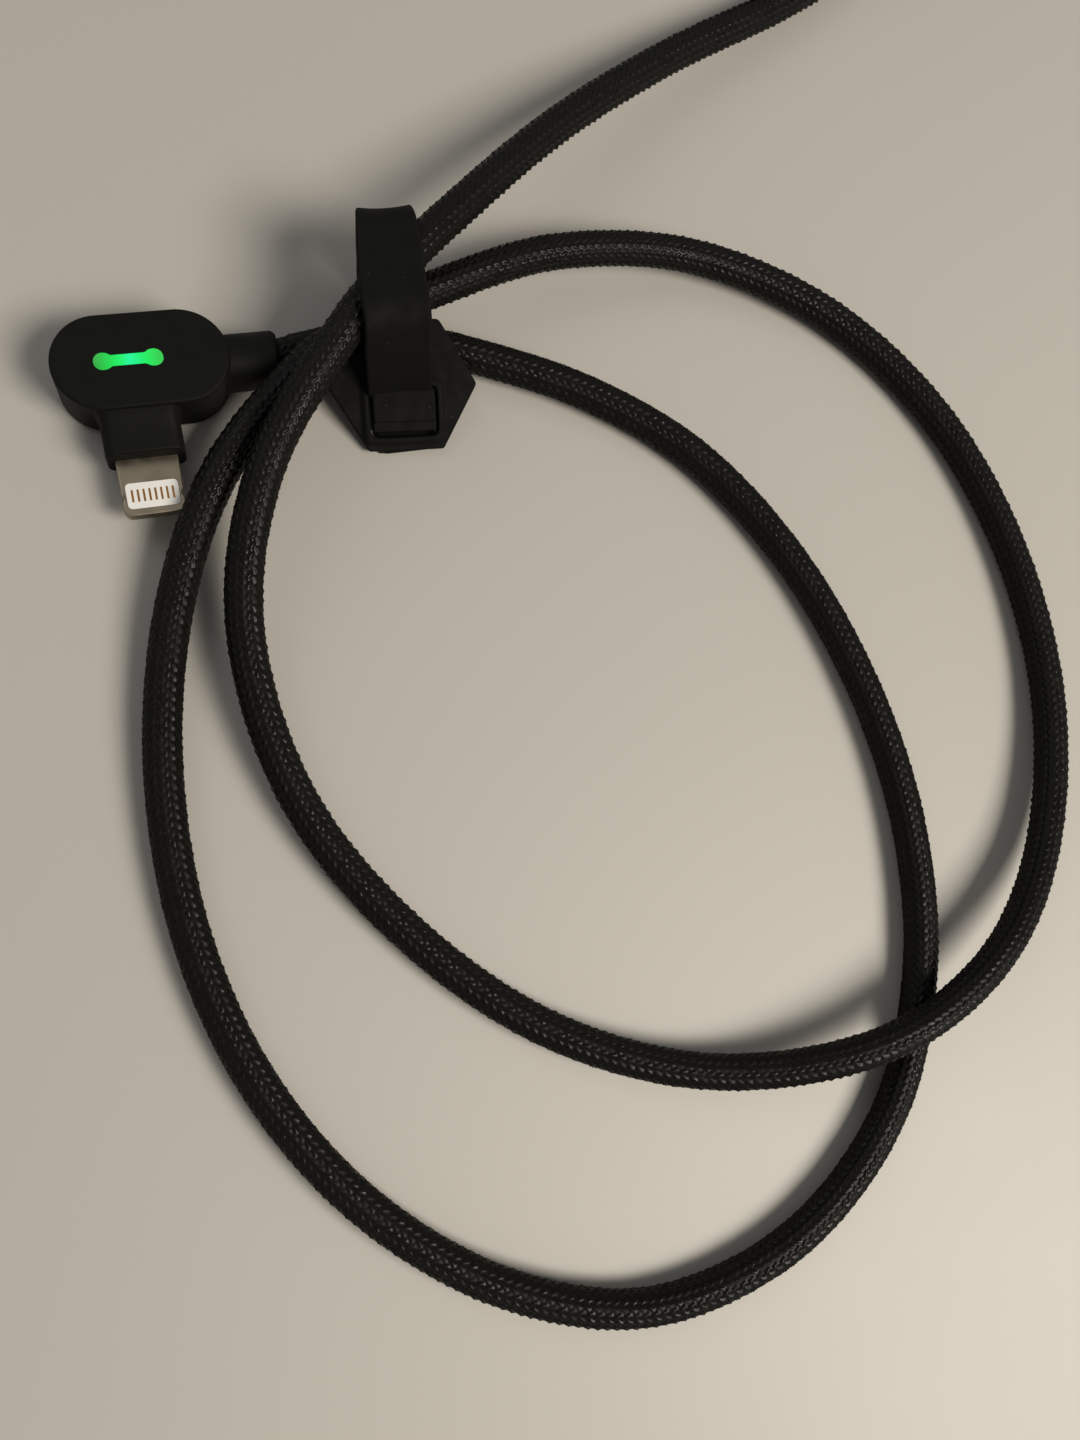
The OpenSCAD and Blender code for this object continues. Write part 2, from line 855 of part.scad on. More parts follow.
head_case();
head_cover();
light_guide();
status_lamps();
head_board();
control_chip();
board_resistors();
tab_frame();
contact_carrier();
contacts_front();
contacts_back();
exit_collar();
cord_crimp();
wire_red();
wire_black();
wire_green();
wire_white();
cord_tube();
cord_coil();
cord_tail();
coil_tie();
strap_base();
strap_flap();
charger_case();
charger_cover();
charger_shell();
charger_tongue();
charger_contacts();
charger_board();
charger_resistor();
charger_collar();
charger_crimp();
charger_wire_red();
charger_wire_black();
charger_wire_green();
charger_wire_white();
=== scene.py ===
"""Looks of a braided charging cable.

A right-angled phone plug with a lit window, a braided cord in two crossing loops, a
hexagonal silicone strap round three runs of it, a tied coil of spare cord and a
right-angled charger plug. Sizes are in millimetres, and meshes are written in metres in
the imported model's own frame.
"""

import json
import logging
import math
from collections.abc import Callable
from dataclasses import dataclass
from enum import Enum

import bpy
import numpy as np
from mathutils import Matrix, Vector


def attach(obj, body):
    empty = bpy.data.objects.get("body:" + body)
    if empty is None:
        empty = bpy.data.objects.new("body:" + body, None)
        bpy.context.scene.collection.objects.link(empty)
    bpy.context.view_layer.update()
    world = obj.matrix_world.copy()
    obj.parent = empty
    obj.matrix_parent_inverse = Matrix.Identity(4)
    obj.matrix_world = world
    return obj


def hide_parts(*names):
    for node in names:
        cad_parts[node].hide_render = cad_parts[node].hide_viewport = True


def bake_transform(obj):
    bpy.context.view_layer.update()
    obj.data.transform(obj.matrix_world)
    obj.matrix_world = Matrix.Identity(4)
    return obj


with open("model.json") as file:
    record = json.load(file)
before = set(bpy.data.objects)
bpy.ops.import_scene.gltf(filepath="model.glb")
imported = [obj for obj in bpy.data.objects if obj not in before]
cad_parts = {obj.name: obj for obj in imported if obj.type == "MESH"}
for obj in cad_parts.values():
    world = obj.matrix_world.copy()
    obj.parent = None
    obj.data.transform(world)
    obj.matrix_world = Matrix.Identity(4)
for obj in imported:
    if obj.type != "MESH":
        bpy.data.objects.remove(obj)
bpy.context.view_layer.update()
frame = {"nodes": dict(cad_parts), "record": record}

LOG = logging.getLogger("charging_cable")
MM = 0.001
BESIDE = 0.1  # from the rounding of an edge to the next ring on the face beside it
Array = np.ndarray
Point = tuple[float, float, float]


class Body(Enum):
    """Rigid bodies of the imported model."""

    CABLE = "cable"
    FLAP = "flap"


# ------------------------------------------------------------------ shapes


def unit(v: Array) -> Array:
    """Vectors along the last axis, each divided by its own length."""
    return v / np.linalg.norm(v, axis=-1, keepdims=True)


def smooth_step(x: Array, low: float, high: float) -> Array:
    """Rise from 0 at low to 1 at high, as 3t^2 - 2t^3."""
    t = np.clip((x - low) / (high - low), 0.0, 1.0)
    return t * t * (3.0 - 2.0 * t)


def outline(theta: Array, c: float, r: float, waist: float, fillet: float = 0.0) -> Array:
    """Outline of two circles joined by a bar.

    x is (c + r) cos(theta). y is the circle's height over x, or between the circles half
    the bar's width where that is larger, and takes the sign of sin(theta). Where the two
    meet, the larger of a and b becomes (a + b + sqrt((a - b)^2 + k^2)) / 2.

    Args:
        theta: angles from 0 to 360 degrees, in radians.
        c: distance of each circle's centre from the middle.
        r: radius of the circles.
        waist: width of the bar. A waist of 2 r makes a shape with straight sides.
        fillet: k, which rounds the corner between a circle and the bar.

    Returns:
        Points, shape (n, 2).
    """
    x = (c + r) * np.cos(theta)
    reach = np.abs(x) - c
    circle = np.sqrt(np.clip(r * r - reach * reach, 0.0, None))
    bar = np.where(reach < 0.0, waist / 2, 0.0)
    soft = fillet * np.clip(-2.0 * reach / r, 0.0, 1.0)
    height = (circle + bar + np.sqrt((circle - bar) ** 2 + soft**2)) / 2
    return np.stack([x, np.sign(np.sin(theta)) * height], 1)


def gather(points: Array, c: float, share: float) -> Array:
    """Outline points moved to a share of their way out from the line (-c, 0) to (c, 0)."""
    line = np.stack([np.clip(points[:, 0], -c, c), 0 * points[:, 1]], 1)
    return line + share * (points - line)


def at_height(points: Array, z: float) -> Array:
    """Plane points (x, y) as (x, y, z)."""
    return np.concatenate([points, np.full((len(points), 1), z)], 1)


def arc(centre: tuple[float, float], r: float, start: float, end: float, steps: int = 8) -> Array:
    """Points of a circle about centre, between two angles in degrees, shape (steps + 1, 2)."""
    turn = np.radians(np.linspace(start, end, steps + 1))
    return np.stack([centre[0] + r * np.cos(turn), centre[1] + r * np.sin(turn)], 1)


def rounding(r: float, steps: int) -> list[tuple[float, float]]:
    """Quarter circle of an edge as (r (1 - sin a), r (1 - cos a)) for a from 0 to 90 degrees."""
    angles = np.radians(np.linspace(0.0, 90.0, steps + 1))
    return [(r * (1 - math.sin(a)), r * (1 - math.cos(a))) for a in angles]


def polar(r: Array | float, theta: Array) -> Array:
    """Plane points at the distances r in the directions theta, shape (..., 2)."""
    return np.stack([r * np.cos(theta), r * np.sin(theta)], -1)


def ray_outline(theta: Array, edges: list[tuple[float, float]], sharpness: float) -> Array:
    """Distance from the centre to a convex outline with softened corners.

    Each edge is a line at a distance d whose normal has the angle a. Along theta it is
    d / cos(theta - a) away. The result is 1 over the power mean of the inverse distances.

    Args:
        theta: directions, in radians.
        edges: (angle of the normal in degrees, distance) of each edge.
        sharpness: power of the mean; a higher one gives tighter corners.

    Returns:
        Distances, one for each direction.
    """
    angle = np.radians([a for a, _ in edges])[:, None]
    away = np.array([d for _, d in edges])[:, None]
    inverse = np.clip(np.cos(theta[None] - angle), 0.0, None) / away
    return (inverse**sharpness).sum(0) ** (-1.0 / sharpness)


def rounded_rectangle(
    w: float, h: float, r: float, corner_steps: int = 6, side_steps: int = 4
) -> Array:
    """Rectangle w by h with corners of radius r, anticlockwise from its right side.

    Each corner is a quarter circle about a centre r inside both edges, and each edge
    between two corners is cut into equal steps.

    Args:
        w: size along the first axis.
        h: size along the second axis.
        r: corner radius.
        corner_steps: steps in a corner.
        side_steps: steps in an edge.

    Returns:
        Points, shape (4 (corner_steps + side_steps), 2).
    """
    quarter = polar(r, np.radians(np.linspace(0.0, 90.0, corner_steps + 1)))
    rotation = np.array([[0.0, 1.0], [-1.0, 0.0]])
    corners, swing = [], np.eye(2)
    for sx, sy in ((1, 1), (-1, 1), (-1, -1), (1, -1)):
        corners.append(quarter @ swing + [sx * (w / 2 - r), sy * (h / 2 - r)])
        swing = swing @ rotation
    points = []
    for k, corner in enumerate(corners):
        points.append(corner)
        share = np.linspace(0.0, 1.0, side_steps + 1)[1:-1, None]
        points.append(corner[-1] * (1 - share) + corners[(k + 1) % 4][0] * share)
    return np.concatenate(points)


def catmull_rom(points: Array, steps: int) -> Array:
    """Smooth curve through points, with the cubic p(t) of each span from its four neighbours.

    Args:
        points: shape (n, 3).
        steps: points made in each span.

    Returns:
        Points, shape ((n - 1) steps + 1, 3).
    """
    p = np.concatenate([[2 * points[0] - points[1]], points, [2 * points[-1] - points[-2]]])
    a, b, c, d = (p[k:len(p) - 3 + k, None] for k in range(4))
    t = (np.arange(steps) / steps)[None, :, None]
    curve = (
        2 * b + (c - a) * t + (2 * a - 5 * b + 4 * c - d) * t**2
        + (3 * b - a - 3 * c + d) * t**3
    ) / 2
    return np.concatenate([curve.reshape(-1, 3), points[-1:]])


def lengths(points: Array) -> Array:
    """Distance along a line of points from its start to each point."""
    steps = np.linalg.norm(np.diff(points, axis=0), axis=1)
    return np.concatenate([[0.0], np.cumsum(steps)])


def resample(points: Array, at: Array) -> Array:
    """Points at the distances at along a line of points."""
    along = lengths(points)
    return np.stack([np.interp(at, along, points[:, k]) for k in range(3)], 1)


def evened(values: Array, count: int) -> Array:
    """Moving mean of a row of values over an odd count of them, with its ends held."""
    padded = np.pad(values, count // 2, mode="edge")
    return np.convolve(padded, np.ones(count) / count, "valid")


@dataclass(frozen=True)
class Grid:
    """A surface given by a grid of points, shape (rows, columns, 3), in millimetres.

    Attributes:
        points: the grid. Rows run along the surface and columns round it.
        round_columns: the last column meets the first.
        round_rows: the last row meets the first.
        uv: first and last value of u over the rows and of v over the columns.
        halved: cut each face in two along its shorter diagonal, which follows a ridge.
    """

    points: Array
    round_columns: bool = True
    round_rows: bool = False
    uv: tuple[float, float, float, float] = (0.0, 1.0, 0.0, 1.0)
    halved: bool = False

    def quads(self) -> tuple[Array, Array]:
        """Corner numbers, shape (n, 4), and their UV, shape (n, 4, 2), facing outwards.

        The volume inside is a sixth of the sum of a . (b x c) over the triangles. Where
        it comes out negative, the faces are turned round.

        Returns:
            The corners and the UV.
        """
        rows, columns = self.points.shape[:2]
        n = rows if self.round_rows else rows - 1
        m = columns if self.round_columns else columns - 1
        i, j = np.arange(n)[:, None], np.arange(m)[None]
        corners = [(i, j), (i + 1, j), (i + 1, j + 1), (i, j + 1)]
        faces = np.stack([(a % rows) * columns + b % columns for a, b in corners], -1)
        u0, u1, v0, v1 = self.uv
        u = u0 + (u1 - u0) * np.arange(n + 1) / n
        v = v0 + (v1 - v0) * np.arange(m + 1) / m
        uv = np.stack(
            [np.stack(np.broadcast_arrays(u[a], v[b]), -1) for a, b in corners], 2
        )
        faces, uv = faces.reshape(-1, 4), uv.reshape(-1, 4, 2)
        p = self.points.reshape(-1, 3)[faces]
        if self.halved:
            diagonal = np.linalg.norm(p[:, 2:] - p[:, :2], axis=2)
            even = (diagonal[:, 0] <= diagonal[:, 1])[:, None, None]
            picks = np.where(even, [[0, 1, 2, 2], [0, 2, 3, 3]], [[0, 1, 3, 3], [1, 2, 3, 3]])
            which = np.arange(len(faces))[:, None, None]
            faces, uv = faces[which, picks].reshape(-1, 4), uv[which, picks].reshape(-1, 4, 2)
            p = self.points.reshape(-1, 3)[faces]
        normals = np.cross(p[:, 1], p[:, 2]) + np.cross(p[:, 2], p[:, 3])
        inside = (p[:, 0] * normals).sum()
        if self.round_columns and inside < 0.0:
            faces, uv = faces[:, ::-1], uv[:, ::-1]
        return faces, uv


def with_poles(points: Array) -> Array:
    """A grid with one more row at each end, gathered in the middle of the end's ring."""
    rows = [np.broadcast_to(points[k].mean(0), points[k].shape)[None] for k in (0, -1)]
    return np.concatenate([rows[0], points, rows[1]])


def make_piece(
    name: str,
    grids: list[Grid],
    finish: bpy.types.Material,
    move: Array | None = None,
    sharp: float = 40.0,
    weld: float = 1e-4,
) -> bpy.types.Object:
    """One mesh object out of one or more grids.

    Points of a grid that lie in one place become one vertex, which closes seams and
    poles, and a face keeps the corners that differ.

    Args:
        name: name of the piece.
        grids: its surfaces, in millimetres.
        finish: its material.
        move: 4 by 4 matrix, in millimetres, that takes the grids into the frame.
        sharp: edges with a larger angle, in degrees, stay sharp.
        weld: distance, in millimetres, within which points are one.

    Returns:
        The object, which sits at the origin.
    """
    points, loops, uvs, sizes, base = [], [], [], [], 0
    for grid in grids:
        faces, uv = grid.quads()
        keys = np.round(grid.points.reshape(-1, 3) / weld).astype(np.int64)
        _, first, same = np.unique(keys, axis=0, return_index=True, return_inverse=True)
        faces = same.reshape(-1)[faces]
        keep = faces != np.roll(faces, 1, axis=1)
        whole = keep.sum(1) >= 3
        loops.append(faces[whole][keep[whole]] + base)
        uvs.append(uv[whole][keep[whole]])
        sizes.append(keep[whole].sum(1))
        points.append(grid.points.reshape(-1, 3)[first])
        base += len(first)
    place = np.concatenate(points)
    if move is not None:
        place = place @ move[:3, :3].T + move[:3, 3]
    corners, size = np.concatenate(loops), np.concatenate(sizes)
    mesh = bpy.data.meshes.new(name)
    mesh.vertices.add(len(place))
    mesh.vertices.foreach_set("co", (place * MM).astype(np.float32).ravel())
    mesh.loops.add(len(corners))
    mesh.loops.foreach_set("vertex_index", corners.astype(np.int32))
    mesh.polygons.add(len(size))
    starts = np.concatenate([[0], np.cumsum(size)[:-1]])
    mesh.polygons.foreach_set("loop_start", starts.astype(np.int32))
    mesh.polygons.foreach_set("use_smooth", np.ones(len(size), bool))
    mesh.update(calc_edges=True)
    layer = mesh.uv_layers.new(name="surface")
    layer.data.foreach_set("uv", np.concatenate(uvs).astype(np.float32).ravel())
    if sharp < 180.0:
        mesh.set_sharp_from_angle(angle=math.radians(sharp))
    mesh.materials.append(finish)
    piece = bpy.data.objects.new(name, mesh)
    bpy.context.scene.collection.objects.link(piece)
    return piece


def shift(x: float, y: float, z: float, turn: float = 0.0, tilt: float = 0.0) -> Array:
    """Matrix that tilts about X, then turns about Z, both in degrees, then moves."""
    matrix = (
        Matrix.Translation((x, y, z))
        @ Matrix.Rotation(math.radians(turn), 4, "Z")
        @ Matrix.Rotation(math.radians(tilt), 4, "X")
    )
    return np.array(matrix)


# ------------------------------------------------------------------ materials


def to_linear(colour: str) -> tuple[float, float, float, float]:
    """Linear RGBA of an sRGB colour.

    Args:
        colour: hex value such as #1a2b3c.

    Returns:
        Four values from 0 to 1.
    """
    parts = [int(colour[k:k + 2], 16) / 255.0 for k in (1, 3, 5)]
    linear = [p / 12.92 if p <= 0.04045 else ((p + 0.055) / 1.055) ** 2.4 for p in parts]
    return (*linear, 1.0)


def add_node(
    tree: bpy.types.NodeTree,
    kind: str,
    settings: dict[str, object] | None = None,
    inputs: dict[object, object] | None = None,
) -> bpy.types.Node:
    """Adds a node, sets its properties and fills its inputs.

    Args:
        tree: the material's node tree.
        kind: the node's type without its ShaderNode prefix.
        settings: property values by name.
        inputs: values or output sockets by the input's name or number.

    Returns:
        The node.
    """
    node = tree.nodes.new("ShaderNode" + kind)
    for name, value in (settings or {}).items():
        setattr(node, name, value)
    for key, value in (inputs or {}).items():
        if isinstance(value, bpy.types.NodeSocket):
            tree.links.new(value, node.inputs[key])
        else:
            node.inputs[key].default_value = value
    return node


NOISE_RANGE = (0.35, 0.65)  # most of a noise texture's values lie in here


@dataclass(frozen=True)
class Finish:
    """A plain moulded or extruded finish, with a fine grain in its relief.

    Attributes:
        name: what the material is.
        colour: sRGB hex colour.
        roughness: of the surface.
        ior: of the plastic; a metal keeps the usual 1.5.
        metallic: 1 for a metal.
        grain_mm: size of the grain.
        grain_depth_mm: height of the grain.
        mottle: how far roughness wanders either way.
        mottle_mm: size of that wandering.
    """

    name: str
    colour: str
    roughness: float
    ior: float = 1.5
    metallic: float = 0.0
    grain_mm: float = 0.25
    grain_depth_mm: float = 0.01
    mottle: float = 0.05
    mottle_mm: float = 3.0

    def start(self) -> tuple[bpy.types.NodeTree, bpy.types.Node, bpy.types.Material]:
        """A new material with the constant values on its shader's own sockets.

        Returns:
            Its tree, its Principled node and itself.
        """
        made = bpy.data.materials.new(self.name)
        made.use_nodes = True
        tree = made.node_tree
        shader = tree.nodes["Principled BSDF"]
        shader.inputs["Base Color"].default_value = to_linear(self.colour)
        shader.inputs["Roughness"].default_value = self.roughness
        shader.inputs["IOR"].default_value = self.ior
        shader.inputs["Metallic"].default_value = self.metallic
        made.diffuse_color = to_linear(self.colour)
        return tree, shader, made

    def noise(
        self, tree: bpy.types.NodeTree, size_mm: float, detail: float
    ) -> bpy.types.NodeSocket:
        """Noise on the object's own coordinates.

        Args:
            tree: the material's node tree.
            size_mm: size of its features.
            detail: octaves of finer noise on them.

        Returns:
            The socket with values about 0.5.
        """
        place = add_node(tree, "TexCoord")
        texture = add_node(
            tree, "TexNoise", {},
            {"Vector": place.outputs["Object"], "Scale": 1.0 / (size_mm * MM), "Detail": detail},
        )
        return texture.outputs["Fac"]

    def relief(
        self, tree: bpy.types.NodeTree, height: bpy.types.NodeSocket, depth_mm: float
    ) -> bpy.types.NodeSocket:
        """Normal of a surface whose height runs from 0 to depth_mm."""
        bump = add_node(
            tree, "Bump", {}, {"Height": height, "Distance": depth_mm * MM, "Strength": 1.0}
        )
        return bump.outputs["Normal"]

    def build(self) -> bpy.types.Material:
        """Fine grain in the normal and a slow wander of the roughness.

        Returns:
            The material.
        """
        tree, shader, made = self.start()
        grain = self.noise(tree, self.grain_mm, 2.0)
        tree.links.new(self.relief(tree, grain, self.grain_depth_mm), shader.inputs["Normal"])
        wander = add_node(
            tree, "MapRange", {},
            {
                "Value": self.noise(tree, self.mottle_mm, 3.0),
                "From Min": NOISE_RANGE[0], "From Max": NOISE_RANGE[1],
                "To Min": self.roughness - self.mottle, "To Max": self.roughness + self.mottle,
            },
        )
        tree.links.new(wander.outputs["Result"], shader.inputs["Roughness"])
        return made


@dataclass(frozen=True)
class BraidedNylon(Finish):
    """Glossy nylon yarns in a herringbone braid. Each yarn is a flat bundle of filaments,
    so the light breaks into short slanted glints.

    The braid's map has u in rows and v in columns of the lattice. A stroke is two columns
    wide. The filaments run along u - v in one stroke and along u + v in the next.

    Attributes:
        filaments: bundles of filaments across a yarn. A real yarn has dozens, which are too
            fine to show, so a few coarse ones stand for them.
        filament_depth_mm: height of a bundle.
        flattest: share of the height that each yarn has at least.
        unevenness: how much more some yarns have, by chance.
    """

    filaments: float = 2.0
    filament_depth_mm: float = 0.004
    flattest: float = 0.2
    unevenness: float = 0.6

    def build(self) -> bpy.types.Material:
        """Filaments in the normal, and a roughness of its own for each yarn.

        Returns:
            The material.
        """
        tree, shader, made = self.start()
        place = add_node(tree, "UVMap", {"uv_map": "surface"})
        split = add_node(tree, "SeparateXYZ", {}, {0: place.outputs["UV"]})
        row, column = split.outputs["X"], split.outputs["Y"]

        def maths(kind: str, a: object, b: object = 0.0) -> bpy.types.NodeSocket:
            """Output of a Math node."""
            return add_node(tree, "Math", {"operation": kind}, {0: a, 1: b}).outputs[0]

        stroke = maths("FLOOR", maths("MULTIPLY", maths("ADD", column, 0.5), 0.5))
        odd = maths("MODULO", stroke, 2.0)
        slant = maths("SUBTRACT", maths("MULTIPLY", odd, 2.0), 1.0)
        across = maths("ADD", row, maths("MULTIPLY", column, slant))
        wave = maths("COSINE", maths("MULTIPLY", across, math.pi * self.filaments))
        yarn = maths("FLOOR", maths("MULTIPLY", maths("ADD", across, 1.0), 0.5))
        seed = add_node(tree, "CombineXYZ", {}, {"X": yarn, "Y": stroke})
        chance = add_node(tree, "TexWhiteNoise", {}, {"Vector": seed.outputs[0]}).outputs["Value"]
        share = maths("ADD", maths("MULTIPLY", chance, self.unevenness), self.flattest)
        height = maths("MULTIPLY", wave, share)
        normal = self.relief(tree, height, self.filament_depth_mm)
        tree.links.new(normal, shader.inputs["Normal"])
        rough = add_node(
            tree, "MapRange", {},
            {
                "Value": chance,
                "To Min": self.roughness - self.mottle, "To Max": self.roughness + self.mottle,
            },
        )
        tree.links.new(rough.outputs["Result"], shader.inputs["Roughness"])
        return made


@dataclass(frozen=True)
class DustedRubber(Finish):
    """Matt rubber with a few pale specks of lint.

    Attributes:
        speck_mm: radius of a speck.
        speck_apart_mm: size of the cells that hold one speck each.
        speck_edge: where a speck fades out and where it is full, as shares of its radius.
        speck_share: share of the cells whose speck shows.
        speck_colour: sRGB hex colour of the lint.
    """

    speck_mm: float = 0.045
    speck_apart_mm: float = 1.3
    speck_edge: tuple[float, float] = (1.6, 0.6)
    speck_share: float = 0.3
    speck_colour: str = "#5c5a52"

    def build(self) -> bpy.types.Material:
        """The plain finish, with the specks' colour where a cell's point is near.

        Returns:
            The material.
        """
        made = Finish.build(self)
        tree = made.node_tree
        place = add_node(tree, "TexCoord").outputs["Object"]
        cells = add_node(
            tree, "TexVoronoi", {}, {"Vector": place, "Scale": 1.0 / (self.speck_apart_mm * MM)}
        )
        none, full = (share * self.speck_mm / self.speck_apart_mm for share in self.speck_edge)
        speck = add_node(
            tree, "MapRange", {},
            {"Value": cells.outputs["Distance"], "From Min": none, "From Max": full},
        )
        chance = add_node(tree, "SeparateXYZ", {}, {0: cells.outputs["Color"]}).outputs["X"]
        shows = add_node(
            tree, "Math", {"operation": "LESS_THAN"}, {0: chance, 1: self.speck_share}
        )
        both = add_node(
            tree, "Math", {"operation": "MULTIPLY"},
            {0: speck.outputs["Result"], 1: shows.outputs[0]},
        )
        mix = add_node(
            tree, "Mix", {"data_type": "RGBA"},
            {0: both.outputs[0], 6: to_linear(self.colour), 7: to_linear(self.speck_colour)},
        )
        shader = tree.nodes["Principled BSDF"]
        tree.links.new(mix.outputs[2], shader.inputs["Base Color"])
        return made


@dataclass(frozen=True)
class LitWindow(Finish):
    """Clear diffusing plastic lit from behind by two green lamps and a paler one between.

    Attributes:
        stops: (place from 0 to 1 along the window, sRGB hex colour of its glow).
        strength: of the glow.
        reach_mm: half the window's length.
    """

    stops: tuple[tuple[float, str], ...] = (
        (0.0, "#2a9e3c"), (0.12, "#24bf42"), (0.26, "#14dc50"), (0.4, "#0ef06a"),
        (0.52, "#1cf49c"), (0.62, "#12f080"), (0.76, "#14ea5c"), (0.9, "#2cd450"),
        (1.0, "#38c450"),
    )
    strength: float = 1.0
    reach_mm: float = 3.7

    def build(self) -> bpy.types.Material:
        """Plain gloss over a glow that changes along the object's X.

        Returns:
            The material.
        """
        tree, shader, made = self.start()
        reach = self.reach_mm * MM
        place = add_node(tree, "TexCoord")
        split = add_node(tree, "SeparateXYZ", {}, {0: place.outputs["Object"]})
        along = add_node(
            tree, "MapRange", {},
            {"Value": split.outputs["X"], "From Min": -reach, "From Max": reach},
        )
        ramp = add_node(tree, "ValToRGB", {}, {"Fac": along.outputs["Result"]})
        elements = ramp.color_ramp.elements
        (elements[0].position, first), (elements[1].position, last) = self.stops[0], self.stops[-1]
        elements[0].color, elements[1].color = to_linear(first), to_linear(last)
        for position, colour in self.stops[1:-1]:
            elements.new(position).color = to_linear(colour)
        tree.links.new(ramp.outputs["Color"], shader.inputs["Emission Color"])
        shader.inputs["Emission Strength"].default_value = self.strength
        return made


# Grain finer than about 0.1 mm can't be seen from a hand's breadth, so spark-eroded,
# blasted and moulded surfaces are drawn with a coarser grain than their own.
FINISHES: dict[str, Finish] = {
    f.name: f
    for f in (
        # Thermoplastic elastomer from a spark-eroded mould: near black and dull. Its skin
        # is matt enough to reflect less than its IOR of 1.5 would
        Finish(
            "moulded_elastomer", "#0b0b08", 0.62, 1.21,
            grain_mm=0.22, grain_depth_mm=0.012, mottle=0.06, mottle_mm=2.5,
        ),
        # Soft extruded PVC inside the braid, never seen but through a gap
        Finish("pvc_jacket", "#0d0d0c", 0.5, 1.53, grain_mm=0.4, grain_depth_mm=0.005),
        # Nylon multifilament yarn, dyed black: small glints that differ from yarn to yarn.
        # The gaps between filaments take light away, so the IOR is under nylon's 1.53
        BraidedNylon("braided_nylon", "#100f0c", 0.35, 1.2, mottle=0.18),
        # Clear acrylic that spreads the lamps' light: an even, saturated green
        LitWindow("lit_diffuser", "#04180a", 0.3, 1.4),
        # Silicone rubber, washed matt: black without a highlight, and it holds lint
        DustedRubber(
            "silicone_rubber", "#0b0b09", 0.72, 1.2,
            grain_mm=0.3, grain_depth_mm=0.012, mottle=0.06, mottle_mm=2.0,
        ),
        # Stainless steel, fine blasted: a warm grey that is worn a little shinier in spots
        Finish(
            "blasted_steel", "#8f8472", 0.36, metallic=1.0,
            grain_mm=0.12, grain_depth_mm=0.004, mottle=0.07, mottle_mm=1.5,
        ),
        # Drawn steel under bright nickel: pale and nearly a mirror
        Finish(
            "nickel_plated_steel", "#c9c7c2", 0.22, metallic=1.0,
            grain_mm=0.3, grain_depth_mm=0.003, mottle_mm=2.0,
        ),
        # Glass-filled liquid crystal polymer: white, with an eggshell sheen
        Finish("white_polymer", "#f1efe9", 0.42, 1.6, grain_mm=0.15, grain_depth_mm=0.004),
        # Thin gold on copper alloy: brownish where it reflects the dark surroundings
        Finish("gold_plate", "#a97a45", 0.3, metallic=1.0, grain_mm=0.1, grain_depth_mm=0.003),
        # Lacquer of a circuit board: green and fairly glossy
        Finish("solder_mask", "#1f5c3a", 0.35, grain_mm=0.3, grain_depth_mm=0.004),
        # Moulded epoxy of a chip: black and dull
        Finish("epoxy_moulding", "#141416", 0.5, 1.55, grain_mm=0.1, grain_depth_mm=0.006),
        # Fired ceramic of a resistor: beige and dull
        Finish("ceramic", "#8a7f6a", 0.45, 1.6, grain_mm=0.1, grain_depth_mm=0.005),
        # Clear cast resin of a lamp: pale and glossy
        Finish("lamp_resin", "#e8f5c8", 0.2, grain_mm=0.3, grain_depth_mm=0.002),
        # Steel strip, pressed round the cord: plain and slightly dull
        Finish("crimped_steel", "#b8b8b2", 0.35, metallic=1.0, grain_mm=0.3, grain_depth_mm=0.006),
        # Extruded PVC round each wire: a clean colour with a soft sheen
        *(
            Finish(f"{name}_insulation", colour, 0.4, grain_mm=0.4, grain_depth_mm=0.004)
            for name, colour in (
                ("red", "#b8241e"), ("black", "#191919"),
                ("green", "#2a8f3c"), ("white", "#e6e4de"),
            )
        ),
        # Loops of brushed nylon: a dull dark grey with a coarse nap
        Finish("loop_tape", "#202123", 0.85, grain_mm=0.35, grain_depth_mm=0.08, mottle_mm=1.0),
    )
}
_made: dict[str, bpy.types.Material] = {}


def material(name: str) -> bpy.types.Material:
    """The material of a finish, which is built once.

    Args:
        name: the finish's name.

    Returns:
        The material.
    """
    if name not in _made:
        _made[name] = FINISHES[name].build()
    return _made[name]


# ------------------------------------------------------------------ studio


@dataclass(frozen=True)
class Lamp:
    """A square soft lamp, in millimetres.

    Attributes:
        name: of the lamp.
        position: its middle.
        target: the point that it faces.
        size: length of its sides.
        watts: its power.
        colour: sRGB hex colour of its light.
    """

    name: str
    position: Point
    target: Point
    size: float
    watts: float
    colour: str = "#ffffff"

    def place(self) -> None:
        """Adds the lamp to the scene."""
        light = bpy.data.lights.new(self.name, "AREA")
        light.shape = "SQUARE"
        light.size = self.size * MM
        light.energy = self.watts
        light.color = to_linear(self.colour)[:3]
        lamp = bpy.data.objects.new(self.name, light)
        lamp.location = Vector(self.position) * MM
        aim = Vector(self.target) - Vector(self.position)
        lamp.rotation_euler = aim.to_track_quat("-Z", "Y").to_euler()
        bpy.context.scene.collection.objects.link(lamp)


